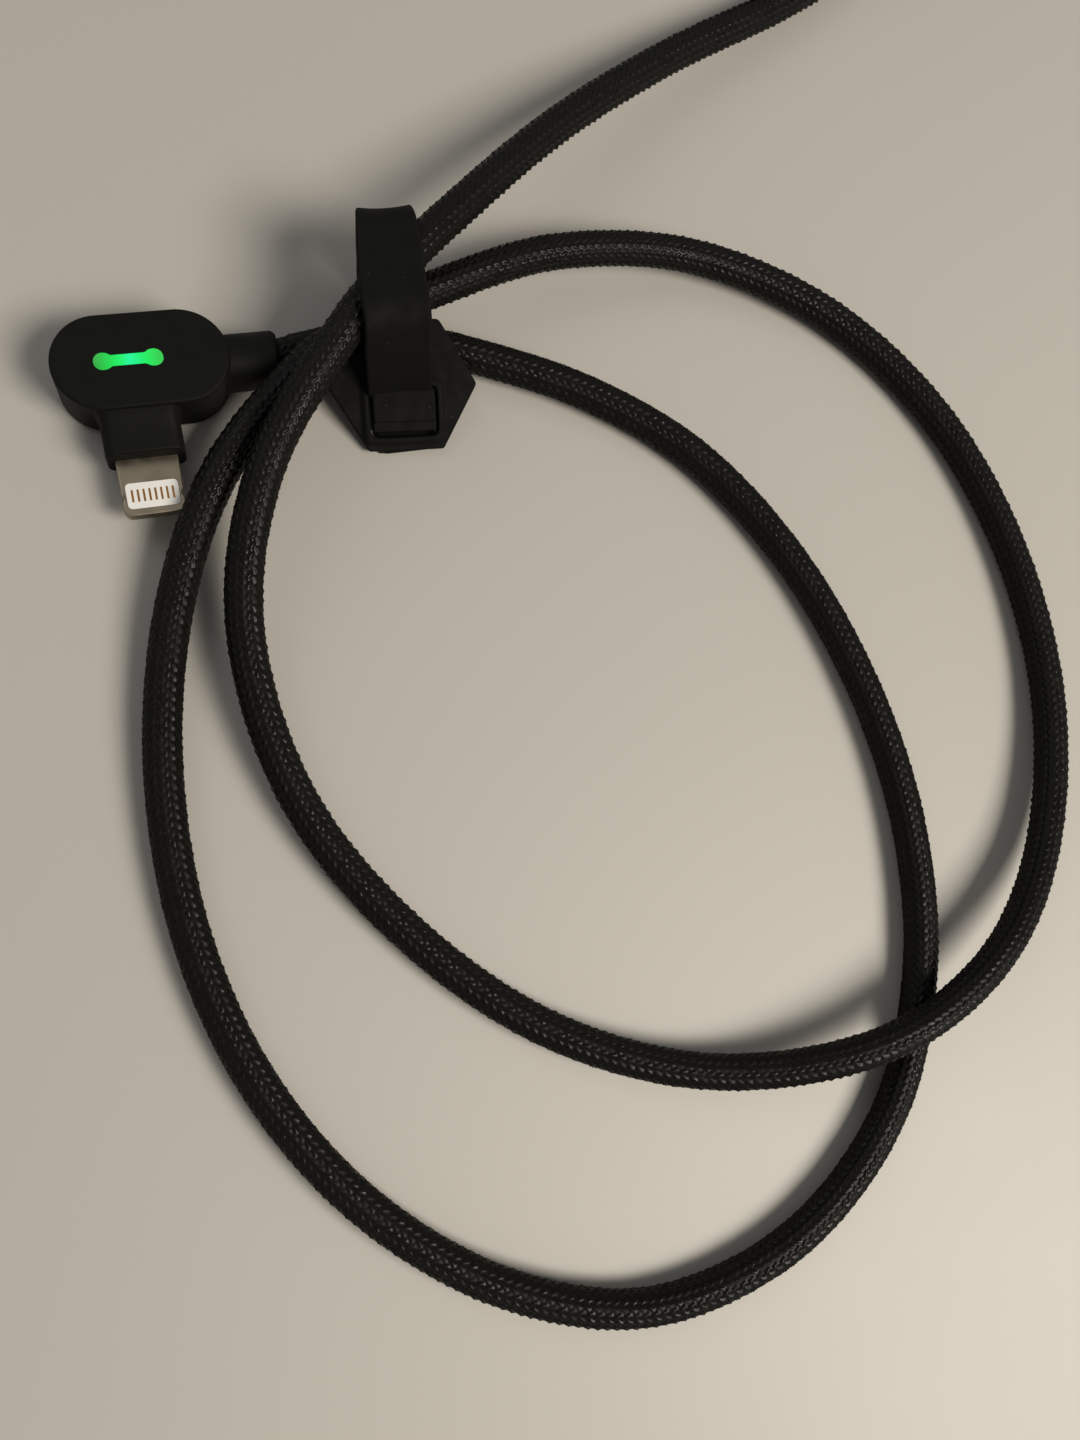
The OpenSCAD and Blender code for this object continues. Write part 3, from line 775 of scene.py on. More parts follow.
@dataclass(frozen=True)
class Studio:
    """Camera, floor, lamps and plain surroundings, in millimetres.

    Attributes:
        camera_at, camera_looks_at, camera_up: the camera's place and the way it is held.
        focal_length: of a sensor 36 mm high.
        floor_size: length of the floor's sides.
        floor_at: its middle.
        floor_colour: sRGB hex colour of its paint.
        surround: strength of the even light from all round.
        backdrop: strength at which the camera and reflections see the surroundings.
        lamps: the soft lamps.
    """

    camera_at: Point = (2.62, -58.21, 134.31)
    camera_looks_at: Point = (39.16, -46.13, 0.0)
    camera_up: Point = (0.1721, 0.9758, 0.1346)
    focal_length: float = 29.125
    floor_size: float = 4000.0
    floor_at: Point = (50.0, -20.0, 0.0)
    floor_colour: str = "#bbb7ae"
    surround: float = 0.15
    backdrop: float = 0.42
    lamps: tuple[Lamp, ...] = (
        Lamp("key_lamp", (345.0, -330.0, 520.0), (60.0, -70.0, 0.0), 290.0, 4.3, "#fff7ec"),
        Lamp("fill_lamp", (-300.0, 420.0, 560.0), (50.0, -30.0, 0.0), 450.0, 0.7),
    )

    def place_camera(self) -> None:
        """Adds the camera, which looks along its own -Z with its Y up."""
        lens = bpy.data.cameras.new("camera")
        lens.sensor_width = 36.0
        lens.lens = self.focal_length
        lens.clip_start, lens.clip_end = 0.005, 20.0
        camera = bpy.data.objects.new("camera", lens)
        back = (Vector(self.camera_at) - Vector(self.camera_looks_at)).normalized()
        right = Vector(self.camera_up).cross(back).normalized()
        rotation = Matrix((right, back.cross(right), back)).transposed().to_4x4()
        camera.matrix_world = Matrix.Translation(Vector(self.camera_at) * MM) @ rotation
        bpy.context.scene.collection.objects.link(camera)
        bpy.context.scene.camera = camera

    def place_floor(self) -> None:
        """Adds a plain pale floor."""
        half = self.floor_size / 2
        corners = np.array([[[half, y, 0.0], [-half, y, 0.0]] for y in (-half, half)])
        # Satin emulsion paint: even and pale, with a wide soft highlight
        finish = Finish(
            "painted_floor", self.floor_colour, 0.5,
            grain_mm=0.6, grain_depth_mm=0.003, mottle=0.01, mottle_mm=30.0,
        )
        floor = make_piece(
            "floor", [Grid(corners, round_columns=False)], finish.build(), shift(*self.floor_at)
        )

    def place_light(self) -> None:
        """Adds the lamps, and a world of even light, which the camera and reflections see
        as a paler backdrop."""
        for lamp in self.lamps:
            lamp.place()
        world = bpy.data.worlds.new("surroundings")
        bpy.context.scene.world = world
        world.use_nodes = True
        tree = world.node_tree
        tree.nodes.clear()
        ray = add_node(tree, "LightPath").outputs
        seen = ray["Is Camera Ray"]
        for kind in ("Is Glossy Ray", "Is Transmission Ray"):
            either = add_node(tree, "Math", {"operation": "MAXIMUM"}, {0: seen, 1: ray[kind]})
            seen = either.outputs[0]
        strength = add_node(
            tree, "MapRange", {},
            {"Value": seen, "To Min": self.surround, "To Max": self.backdrop},
        )
        even = add_node(
            tree, "Background", {},
            {"Color": (1, 1, 1, 1), "Strength": strength.outputs["Result"]},
        )
        add_node(tree, "OutputWorld", {}, {"Surface": even.outputs[0]})
        bpy.context.scene.view_settings.view_transform = "Standard"


# ------------------------------------------------------------------ cord


@dataclass(frozen=True)
class CordRoute:
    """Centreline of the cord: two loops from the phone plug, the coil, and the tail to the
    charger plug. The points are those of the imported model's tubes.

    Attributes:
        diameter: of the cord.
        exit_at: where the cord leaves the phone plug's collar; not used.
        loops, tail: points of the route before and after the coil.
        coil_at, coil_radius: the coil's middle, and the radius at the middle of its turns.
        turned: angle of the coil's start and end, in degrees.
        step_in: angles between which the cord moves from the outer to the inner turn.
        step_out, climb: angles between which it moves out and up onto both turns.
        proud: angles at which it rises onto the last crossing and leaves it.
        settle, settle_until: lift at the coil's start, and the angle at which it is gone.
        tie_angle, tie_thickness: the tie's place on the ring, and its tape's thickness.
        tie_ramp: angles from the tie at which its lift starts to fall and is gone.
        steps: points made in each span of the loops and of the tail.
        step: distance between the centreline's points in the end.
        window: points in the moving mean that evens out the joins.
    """

    diameter: float = 4.4
    exit_at: Point = (16.2, 0.0, 3.6)
    loops: tuple[Point, ...] = (
        (11.2, 0, 3.6), (16.2, 0, 3.6),
        (18.8, 0.8, 3.5), (28.5, 1.4, 3.5), (39, -1.3, 2.9), (53.5, -7.8, 2.5),
        (66, -17.7, 2.3), (75.5, -32.5, 2.3), (81.3, -50, 2.3), (83, -68, 2.3),
        (80, -85.5, 2.3), (71.5, -101, 2.3), (56.5, -111.5, 2.3), (38.5, -114, 2.3),
        (22.5, -107.7, 2.3), (9.2, -95.5, 2.3), (0.2, -80, 2.3), (-4.2, -62.5, 2.3),
        (-4, -44, 2.6), (0.2, -26.7, 3.6), (7.7, -12.9, 5.8), (18.7, -2.6, 7.2),
        (26.4, 1.3, 8), (34.5, 4.7, 8), (51.6, 9.3, 6.1), (70.8, 8.5, 3.7),
        (88.5, -0.5, 2.6), (101, -15.7, 2.3), (107.3, -34.7, 2.3), (107.4, -55, 2.6),
        (100.5, -73.3, 4), (88, -85.5, 6.7), (71.2, -91.8, 6.7), (51.5, -90.8, 3.6),
        (33.6, -82.3, 2.5), (19.5, -68.3, 2.3), (9.6, -50.7, 3.2), (7, -31.3, 5.5),
        (12.2, -14.4, 9.2), (23.6, -0.5, 12.3), (30.5, 5.8, 12.3), (37.6, 11.6, 11.6),
        (53.8, 24, 8.4), (72.2, 34.9, 5.2), (90.8, 43.3, 3.4), (102.5, 49.6, 2.6),
        (113.5, 57, 2.3),
    )
    tail: tuple[Point, ...] = (
        (98, 105.5, 6), (88, 105, 6.9), (77, 102, 5.6), (66, 98, 4.3),
        (57, 96.2, 4), (43.4, 96, 4), (38.4, 96, 4),
    )
    coil_at: tuple[float, float] = (98.0, 80.0)
    coil_radius: float = 25.5
    turned: tuple[float, float] = (-56.0, 810.0)
    step_in: tuple[float, float] = (256.0, 304.0)
    step_out: tuple[float, float] = (570.0, 625.0)
    climb: tuple[float, float] = (570.0, 615.0)
    proud: tuple[float, float, float, float] = (600.0, 620.0, 664.0, 690.0)
    settle: float = 0.1
    settle_until: float = -30.0
    tie_angle: float = 20.0
    tie_thickness: float = 0.6
    tie_ramp: tuple[float, float] = (12.0, 45.0)
    steps: tuple[int, int] = (60, 40)
    step: float = 0.25
    window: int = 13

    def coil(self) -> Array:
        """Turns of the coil: the outer turn, the inner turn beside it, then one on top.

        The radius steps in by a diameter before the first turn closes, and out by half of
        one where the third turn climbs. There the cord rises by the height of a triangle
        of its own diameter, and by the whole diameter where it crosses the turn below. It
        lifts a little where the tie passes under it.

        Returns:
            Points at every half degree, shape (n, 3).
        """
        angle = np.arange(*self.turned, 0.5)
        d = self.diameter
        inward = smooth_step(angle, *self.step_in)
        outward = smooth_step(angle, *self.step_out)
        radius = self.coil_radius + d / 2 - d * inward + d / 2 * outward
        top = d * math.sqrt(3) / 2
        over = (d - top) * smooth_step(angle, *self.proud[:2])
        over = over * (1 - smooth_step(angle, *self.proud[2:]))
        height = d / 2 + top * smooth_step(angle, *self.climb) + over
        start = self.settle * (1 - smooth_step(angle, self.turned[0], self.settle_until))
        off = (angle - self.tie_angle + 180.0) % 360.0 - 180.0
        lift = self.tie_thickness * (1 - smooth_step(np.abs(off), *self.tie_ramp))
        ring = polar(radius, np.radians(angle)) + self.coil_at
        return np.concatenate([ring, (height + start + lift)[:, None]], 1)

    def centreline(self) -> Array:
        """Whole route, with its joins evened out by a moving mean.

        Returns:
            Points a step apart, shape (n, 3).
        """
        loops, tail = (
            catmull_rom(np.array(points, float), steps)
            for points, steps in zip((self.loops, self.tail), self.steps)
        )
        line = np.concatenate([loops[:-1], self.coil(), tail])
        line = resample(line, np.arange(0.0, lengths(line)[-1], self.step))
        pad = self.window // 2
        inner = np.stack([evened(line[:, k], self.window) for k in range(3)], 1)[pad:-pad]
        return np.concatenate([line[:pad], inner, line[-pad:]])


@dataclass(frozen=True)
class Braid:
    """Herringbone braid of two sets of yarns over a smooth jacket.

    The yarns cross on a lattice of rows along the cord and columns round it. A stroke is
    two columns wide, and in each stroke one set of yarns lies on top.

    Attributes:
        carriers: yarns in both sets, and strokes round the cord.
        row: distance between rows.
        valley_radius: radius between the yarns.
        yarn_height: how far a yarn stands out at a crossing.
        spread: share of that height by which a crossing may stand lower.
        crossings: crossings in a stroke before their heights repeat.
        seed: of those heights.
        jacket_radius: radius that the ends close down to.
        fineness: grid steps in a row and in a column.
    """

    carriers: int = 16
    row: float = 0.54
    valley_radius: float = 1.94
    yarn_height: float = 0.3
    spread: float = 0.3
    crossings: int = 4096
    seed: int = 5
    jacket_radius: float = 1.9
    fineness: int = 2

    def surface(self, line: Array, first: float, last: float) -> Grid:
        """Braid over the centreline between two distances along it.

        At row j and column c the radius is the valley's, plus the yarn's height times
        (1 + cos(pi (j - c))) / 2, or the same with j + c in every other stroke, times
        the sine of the way across the stroke. Each crossing of yarns stands lower than
        that by its own share of the spread, from one seeded table.

        Args:
            line: centreline points.
            first: distance of the first row, a whole number of rows.
            last: distance of the last row, likewise.

        Returns:
            The grid, with ends that close down on the jacket.
        """
        steps = int(round((last - first) / self.row)) * self.fineness
        j = first / self.row + np.arange(steps + 1) / self.fineness
        columns = 2 * self.carriers
        c = np.arange(columns * self.fineness) / self.fineness
        stroke = (c + 0.5) / 2
        number = np.floor(stroke)
        slant = np.where(number % 2 == 0, -1.0, 1.0)
        wave = np.cos(np.pi * (j[:, None] + slant * c))
        crown = np.sin(np.pi * (stroke - number)) * (1 + wave) / 2
        crossing = np.floor((j[:, None] + slant * c + 1) / 2).astype(int) % self.crossings
        chance = np.random.default_rng(self.seed).random((self.carriers, self.crossings))
        own = 1 - self.spread * chance[number.astype(int) % self.carriers, crossing]
        radius = self.valley_radius + self.yarn_height * own * crown
        reach = 0.3  # between the points that give the cord's direction
        behind, middle, ahead = (resample(line, j * self.row + k) for k in (-reach, 0.0, reach))
        along, turn = unit(ahead - behind), 2 * np.pi * c / columns
        points = sweep(middle, along, radius, turn)
        ends = sweep(middle, along, np.full_like(radius, self.jacket_radius), turn)
        points = with_poles(np.concatenate([ends[:1], points, ends[-1:]]))
        rim = 2 / self.fineness
        return Grid(points, uv=(j[0] - rim, j[-1] + rim, 0.0, float(columns)), halved=True)


def sweep(middle: Array, along: Array, radius: Array, angle: Array) -> Array:
    """Rings about a line that stays near level.

    A ring's first axis is level and square to the line, and its second points up.

    Args:
        middle: ring centres, shape (n, 3).
        along: directions, shape (n, 3).
        radius: shape (n, m).
        angle: of each column, shape (m,).

    Returns:
        Points, shape (n, m, 3).
    """
    side = unit(np.cross(along, [0.0, 0.0, 1.0]))[:, None]
    up = np.cross(side[:, 0], along)[:, None]
    ring = np.cos(angle)[None, :, None] * side + np.sin(angle)[None, :, None] * up
    return middle[:, None] + radius[..., None] * ring


@dataclass(frozen=True)
class Cord:
    """The cord: a jacket of its whole length and the braid over it, in stretches.

    Attributes:
        route: its centreline.
        braid: its braid.
        jacket_step, jacket_sides: distance between the jacket's rings, and their points.
        cuts_near: points near which one stretch of braid meets the next: twice under the
            strap's band, and in the coil's inner turn.
    """

    route: CordRoute = CordRoute()
    braid: Braid = Braid()
    jacket_step: float = 1.5
    jacket_sides: int = 12
    cuts_near: tuple[Point, ...] = ((29.5, 2.7, 8.2), (28.6, 4.2, 12.4), (119.9, 88.0, 2.8))

    def build(self) -> tuple[bpy.types.Object, list[bpy.types.Object], Array]:
        """Makes the jacket and the braid's stretches.

        Returns:
            The jacket, the stretches, and the centreline that they follow.
        """
        line = self.route.centreline()
        travelled = lengths(line)
        total = travelled[-1]
        at = np.linspace(0.0, total, int(total / self.jacket_step))
        middle = resample(line, at)
        along = unit(np.gradient(middle, axis=0))
        radius = np.full((len(at), self.jacket_sides), self.braid.jacket_radius)
        angle = 2 * np.pi * np.arange(self.jacket_sides) / self.jacket_sides
        jacket = make_piece(
            "cord_jacket",
            [Grid(with_poles(sweep(middle, along, radius, angle)))],
            material("pvc_jacket"),
        )
        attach(jacket, Body.CABLE.value)
        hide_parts("cord_tube", "cord_coil", "cord_tail")
        near = [travelled[np.argmin(np.linalg.norm(line - p, axis=1))] for p in self.cuts_near]
        cuts = [0, *(int(x / self.braid.row) for x in near), int(total / self.braid.row) - 1]
        sleeves = []
        for k, (first, last) in enumerate(zip(cuts, cuts[1:]), 1):
            grid = self.braid.surface(line, first * self.braid.row, last * self.braid.row)
            sleeve = make_piece(f"cord_braid_{k}", [grid], material("braided_nylon"), sharp=180.0)
            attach(sleeve, Body.CABLE.value)
            sleeves.append(sleeve)
        return jacket, sleeves, line


# ------------------------------------------------------------------ plug heads


@dataclass(frozen=True)
class Window:
    """Light window: two round ends joined by a bar, along X and centred on the tab's axis.

    Attributes:
        pitch, diameter: distance between the round ends' centres, and their size.
        bar, fillet: width of the bar, and the rounding where it meets the ends.
        edge: radius of the recess's rim.
        depth: of the recess.
        gap: between the recess's wall and the guide.
        proud, dome: height of the guide's middle over the head, and its fall to its rim.
        lift: gap between the recess's floor and the guide.
    """

    pitch: float = 5.4
    diameter: float = 2.0
    bar: float = 1.25
    fillet: float = 0.25
    edge: float = 0.08
    depth: float = 0.9
    gap: float = 0.04
    proud: float = 0.01
    dome: float = 0.08
    lift: float = 0.02

    def shape(self, theta: Array, grow: float) -> Array:
        """The window's outline, grown by grow."""
        return outline(
            theta, self.pitch / 2, self.diameter / 2 + grow, self.bar + 2 * grow, self.fillet
        )

    def recess(self, theta: Array, top: float) -> list[Array]:
        """The recess that the guide sits in.

        Args:
            theta: parameter of the outline's points.
            top: height of the head's face.

        Returns:
            Rings from the middle of the recess's floor up its wall and over its rim.
        """
        floor, half = top - self.depth, self.pitch / 2
        wall = self.shape(theta, 0.0)
        rings = [at_height(gather(wall, half, k), floor) for k in (0.0, 0.5, 1.0)]
        rings.append(at_height(wall, floor + self.edge))
        for drop, grow in rounding(self.edge, 4):
            rings.append(at_height(self.shape(theta, grow), top - drop))
        rings.append(at_height(self.shape(theta, 2 * self.edge), top))
        return rings

    def guide(self, theta: Array, top: float) -> Array:
        """The light guide: a low dome over the window's outline, down to the floor.

        At a share k of the way out, the dome has fallen by k^3 of its whole fall.

        Args:
            theta: parameter of the outline's points.
            top: height of the head's face.

        Returns:
            Rings, shape (n, m, 3).
        """
        wall, half = self.shape(theta, -self.gap), self.pitch / 2
        rings = [
            at_height(gather(wall, half, k), top + self.proud - self.dome * k**3)
            for k in np.linspace(0.0, 1.0, 8)
        ]
        floor = top - self.depth + self.lift
        rings += [at_height(gather(wall, half, k), floor) for k in (1.0, 0.5, 0.0)]
        return np.stack(rings)


@dataclass(frozen=True)
class PlugHead:
    """Moulded head of a right-angled plug, with the neck that the plug comes out of and
    the collar of the cord. Its own frame has the cord along X and the plug along -Y.

    Attributes:
        name: prefix of the pieces' names.
        at: place of its origin in the part's frame.
        length, width, thickness: size of the head.
        shift: how far its middle lies towards the cord.
        neck: width, thickness and reach of the neck.
        collar_diameter, collar_out: the cord's collar.
        bore: diameter of the hole that the cord comes out of.
        top_edge, low_edge: radii of the head's upper and lower edge.
        neck_corner, neck_edge: radii of the neck's corners and of its end's edge.
        root: radius of the fillets where neck and collar meet the head.
        crown: how far the head's face rises from its edge to its middle.
        sides: points round the head.
        window: the light window, if it has one.
    """

    name: str
    at: Point
    length: float
    width: float
    thickness: float
    shift: float
    neck: tuple[float, float, float]
    collar_diameter: float = 6.4
    collar_out: float = 5.4
    bore: float = 4.5
    top_edge: float = 0.4
    low_edge: float = 0.8
    neck_corner: float = 1.2
    neck_edge: float = 0.35
    root: float = 0.55
    crown: float = 0.06
    sides: int = 192
    window: Window | None = None

    @property
    def axis_z(self) -> float:
        """Height of the cord's and the plug's axes."""
        return self.thickness / 2

    @property
    def straight(self) -> float:
        """Half the length of the head's straight sides."""
        return (self.length - self.width) / 2

    def round_steps(self) -> Array:
        """Parameter of the points round the head, in radians."""
        return np.linspace(0.0, 2 * np.pi, self.sides, endpoint=False)

    def ring(self, inset: float, z: float) -> Array:
        """The head's outline at one height.

        Args:
            inset: how far it is drawn in.
            z: the height.

        Returns:
            Points, shape (sides, 3).
        """
        r = self.width / 2 - inset
        shape = outline(self.round_steps(), self.straight, r, 2 * r)
        return at_height(shape + [self.shift, 0.0], z)

    def body(self) -> Array:
        """The head's shell.

        The rings are the same outline drawn in by an inset. Over the edges, inset and
        height follow quarter circles. Between the window and the rim, at a share k of the
        way out, the face has fallen by k^2 of the crown.

        Returns:
            Rings from the middle of its top to that of its base.
        """
        t, c = self.thickness, self.straight
        brow = t - self.crown
        over = [self.ring(inset, brow - drop) for inset, drop in rounding(self.top_edge, 8)]
        under = [self.ring(inset, z) for z, inset in rounding(self.low_edge, 10)]
        rim = self.ring(self.top_edge + BESIDE, brow + self.crown * 0.05)
        if self.window is None:
            inner = [at_height(gather(rim[:, :2], c, 0.0), t)]
        else:
            inner = self.window.recess(self.round_steps(), t)
        plateau = [
            at_height((inner[-1] * (1 - k) + rim * k)[:, :2], t - self.crown * k * k)
            for k in (0.25, 0.5, 0.75)
        ]
        foot = self.ring(self.low_edge + BESIDE, 0.0)
        middle = at_height(gather(rim[:, :2], c, 0.0), 0.0)
        return np.stack([*inner, *plateau, rim, *over, *under, foot, middle])

    def neck_block(self) -> Array:
        """The neck: a rounded rectangle carried along -Y, closed over a rounded edge.

        It widens into a fillet at the head's side, no higher than the head. Past the side's
        straight stretch the fillet's foot falls back along the head's round end, by
        R - sqrt(R^2 - x^2) at a distance x beyond the stretch.

        Returns:
            Rings from inside the head to the neck's end, closed at both ends.
        """
        w, t, out = self.neck
        buried = 3.0  # length of the neck inside the head
        slim = 0.8  # width of the fillet over its reach
        sunk = 0.15  # share of the fillet that starts inside the head
        least_corner, highest = 0.2, self.thickness - 0.06
        side, end = self.width / 2, self.width / 2 + out
        rows = [(side - buried, self.root)]
        rows += [
            (side + self.root * (1 - sunk) - left, slim * left)
            for left, _ in rounding(self.root, 6)
        ]
        rows += [(end - back, -inset) for back, inset in rounding(self.neck_edge, 6)]
        rows.append((end, -self.neck_edge - BESIDE))
        rings = []
        for y, grow in rows:
            corner = max(self.neck_corner + grow, least_corner)
            shape = rounded_rectangle(w + 2 * grow, min(t + 2 * grow, highest), corner)
            past = np.maximum(np.abs(shape[:, 0] - self.shift) - self.straight, 0.0)
            fall = side - np.sqrt(side**2 - past**2)
            back = fall if y < side + self.root else 0.0 * fall
            rings.append(np.stack([shape[:, 0], back - y, shape[:, 1] + self.axis_z], 1))
        return with_poles(np.stack(rings))

    def collar(self) -> Array:
        """The collar, turned about the cord's axis: a fillet at the head, a chamfer with
        rounded edges at the mouth, and a bore with a floor.

        At an angle a from level, the fillet's radius f is root (0.35 + 0.65 cos^2 a), and
        its foot follows the head's round end, R - sqrt(R^2 - y^2) behind the furthest
        point, and a little more where the head's upper and lower edges are rounded.

        Returns:
            Rings from inside the head to the bore's floor.
        """
        head_end, big = self.shift + self.length / 2, self.width / 2
        end, r, hole = head_end + self.collar_out, self.collar_diameter / 2, self.bore / 2
        angle = np.linspace(0.0, 2 * np.pi, 96, endpoint=False)
        fillet = self.root * (0.35 + 0.65 * np.cos(angle) ** 2)
        level = (r + fillet) * np.cos(angle)
        sunk = 0.08 + 0.25 * np.sin(angle) ** 2
        foot = head_end - sunk - (big - np.sqrt(big**2 - level**2))
        same = np.zeros(len(angle))
        buried, core, deep = head_end - 2.5, 2.0, 0.3
        rows = [
            (buried + same, same), (buried + same, core + same), (foot - deep, r + fillet - deep)
        ]
        rows += [(foot + fillet * up, r + fillet * out) for out, up in rounding(1.0, 6)]
        # (x, radius): the chamfer between its two rounded corners, the face and the bore
        lip, floor = 0.15, end - 1.5
        mouth = np.concatenate([
            [[end - 0.6, r]],
            arc((end - 0.45, r - 0.1), 0.1, 90.0, 40.0, 4),
            arc((end - lip, r - 0.42), lip, 40.0, 0.0, 4),
            [[end, hole + 0.25]],
            arc((end - lip, hole + lip), lip, 0.0, -90.0, 4),
            [[floor, hole], [floor, 0.0]],
        ])
        rows += [(x + same, out + same) for x, out in mouth]
        return np.stack([
            np.stack([x, out * np.cos(angle), self.axis_z + out * np.sin(angle)], 1)
            for x, out in rows
        ])

    def build(self, shell_nodes: tuple[str, ...], collar_node: str) -> list[bpy.types.Object]:
        """Makes the shell and the collar, and the light guide where there is a window.

        Args:
            shell_nodes: nodes that the shell stands for.
            collar_node: node that the collar stands for.

        Returns:
            The pieces.
        """
        place = shift(*self.at)
        rubber = material("moulded_elastomer")
        shell = make_piece(
            f"{self.name}_shell", [Grid(self.body()), Grid(self.neck_block())], rubber, place
        )
        collar = make_piece(f"{self.name}_collar_sleeve", [Grid(self.collar())], rubber, place)
        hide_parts(*shell_nodes)
        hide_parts(collar_node)
        made = [shell, collar]
        if self.window is not None:
            surface = Grid(self.window.guide(self.round_steps(), self.thickness))
            guide = make_piece(
                f"{self.name}_light_guide", [surface], material("lit_diffuser"), place
            )
            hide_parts("light_guide")
            made.append(guide)
        for piece in made:
            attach(piece, Body.CABLE.value)
        return made


@dataclass(frozen=True)
class PhoneTab:
    """Steel tab of the phone plug: rounded tip and edges, a latch notch in each side and a
    window for the contact carrier.

    Attributes:
        axis_z: height of its middle.
        width, thickness: of the tab.
        tip, root: y of its two ends, of which the root is inside the neck.
        corner, edge: radii of the tip's corners and of the edges.
        notch_radius, notch_depth, notch_from_tip: the latch notches.
        hole, hole_corner, margin: size of the carrier's window, the radius of its corners,
            and the steel between it and the tip.
        wall: steel that the notches leave beside the window.
        lip: bevel of the window's edge.
        side_steps: grid steps in each straight side.
    """

    axis_z: float
    width: float = 6.7
    thickness: float = 1.5
    tip: float = -16.6
    root: float = -2.8
    corner: float = 0.9
    edge: float = 0.2
    notch_radius: float = 0.5
    notch_depth: float = 0.18
    notch_from_tip: float = 2.0
    hole: tuple[float, float] = (5.6, 2.9)
    hole_corner: float = 0.5
    margin: float = 0.8
    wall: float = 0.16
    lip: float = 0.05
    side_steps: int = 96

    def outer(self, inset: float) -> Array:
        """The tab's outline.

        Within reach of a notch's circle, x is no larger than the circle allows, and never
        so small that it comes near the carrier's window.

        Args:
            inset: how far it is drawn in.

        Returns:
            Points, shape (n, 2).
        """
        w, l = self.width - 2 * inset, self.root - self.tip - 2 * inset
        shape = rounded_rectangle(w, l, self.corner - inset, side_steps=self.side_steps)
        shape = shape + [0.0, (self.root + self.tip) / 2]
        off = shape[:, 1] - (self.tip + self.notch_from_tip)
        reach = np.sqrt(np.clip((self.notch_radius + inset) ** 2 - off**2, 0.0, None))
        limit = self.width / 2 + self.notch_radius - self.notch_depth - reach
        limit = np.maximum(limit, self.hole[0] / 2 + self.wall)
        x = np.abs(shape[:, 0])
        x = np.where(reach > 0.0, np.minimum(x, limit), x)
        return np.stack([np.sign(shape[:, 0]) * x, shape[:, 1]], 1)

    def inner(self, grow: float) -> Array:
        """The carrier's window.

        Args:
            grow: how far it is grown.

        Returns:
            Points, shape (n, 2).
        """
        w, l = self.hole
        corner = self.hole_corner + grow
        shape = rounded_rectangle(w + 2 * grow, l + 2 * grow, corner, side_steps=self.side_steps)
        return shape + [0.0, self.tip + self.margin + l / 2]

    def surface(self) -> Grid:
        """The tab as a ring of rings: out over the face, round the edge, back under the
        other face and up through the carrier's window.

        Returns:
            The grid.
        """
        half = self.thickness / 2
        bevel = ((0.0, self.lip), (self.lip, 0.0), (2 * self.lip, 0.0))
        near = 0.06  # closer than BESIDE, because the steel beside the window is narrow
        face = [(self.inner(grow), half - drop) for grow, drop in bevel]
        face.append((self.outer(self.edge + near), half))
        face += [(self.outer(inset), half - drop) for inset, drop in rounding(self.edge, 5)]
        rings = [at_height(p, self.axis_z + z) for p, z in face]
        rings += [at_height(p, self.axis_z - z) for p, z in reversed(face)]
        return Grid(np.stack(rings), round_rows=True)

    def build(self) -> bpy.types.Object:
        """Makes the tab.

        Returns:
            The piece.
        """
        tab = make_piece("phone_tab_plate", [self.surface()], material("blasted_steel"))
        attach(tab, Body.CABLE.value)
        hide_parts("tab_frame")
        return tab


# ------------------------------------------------------------------ strap


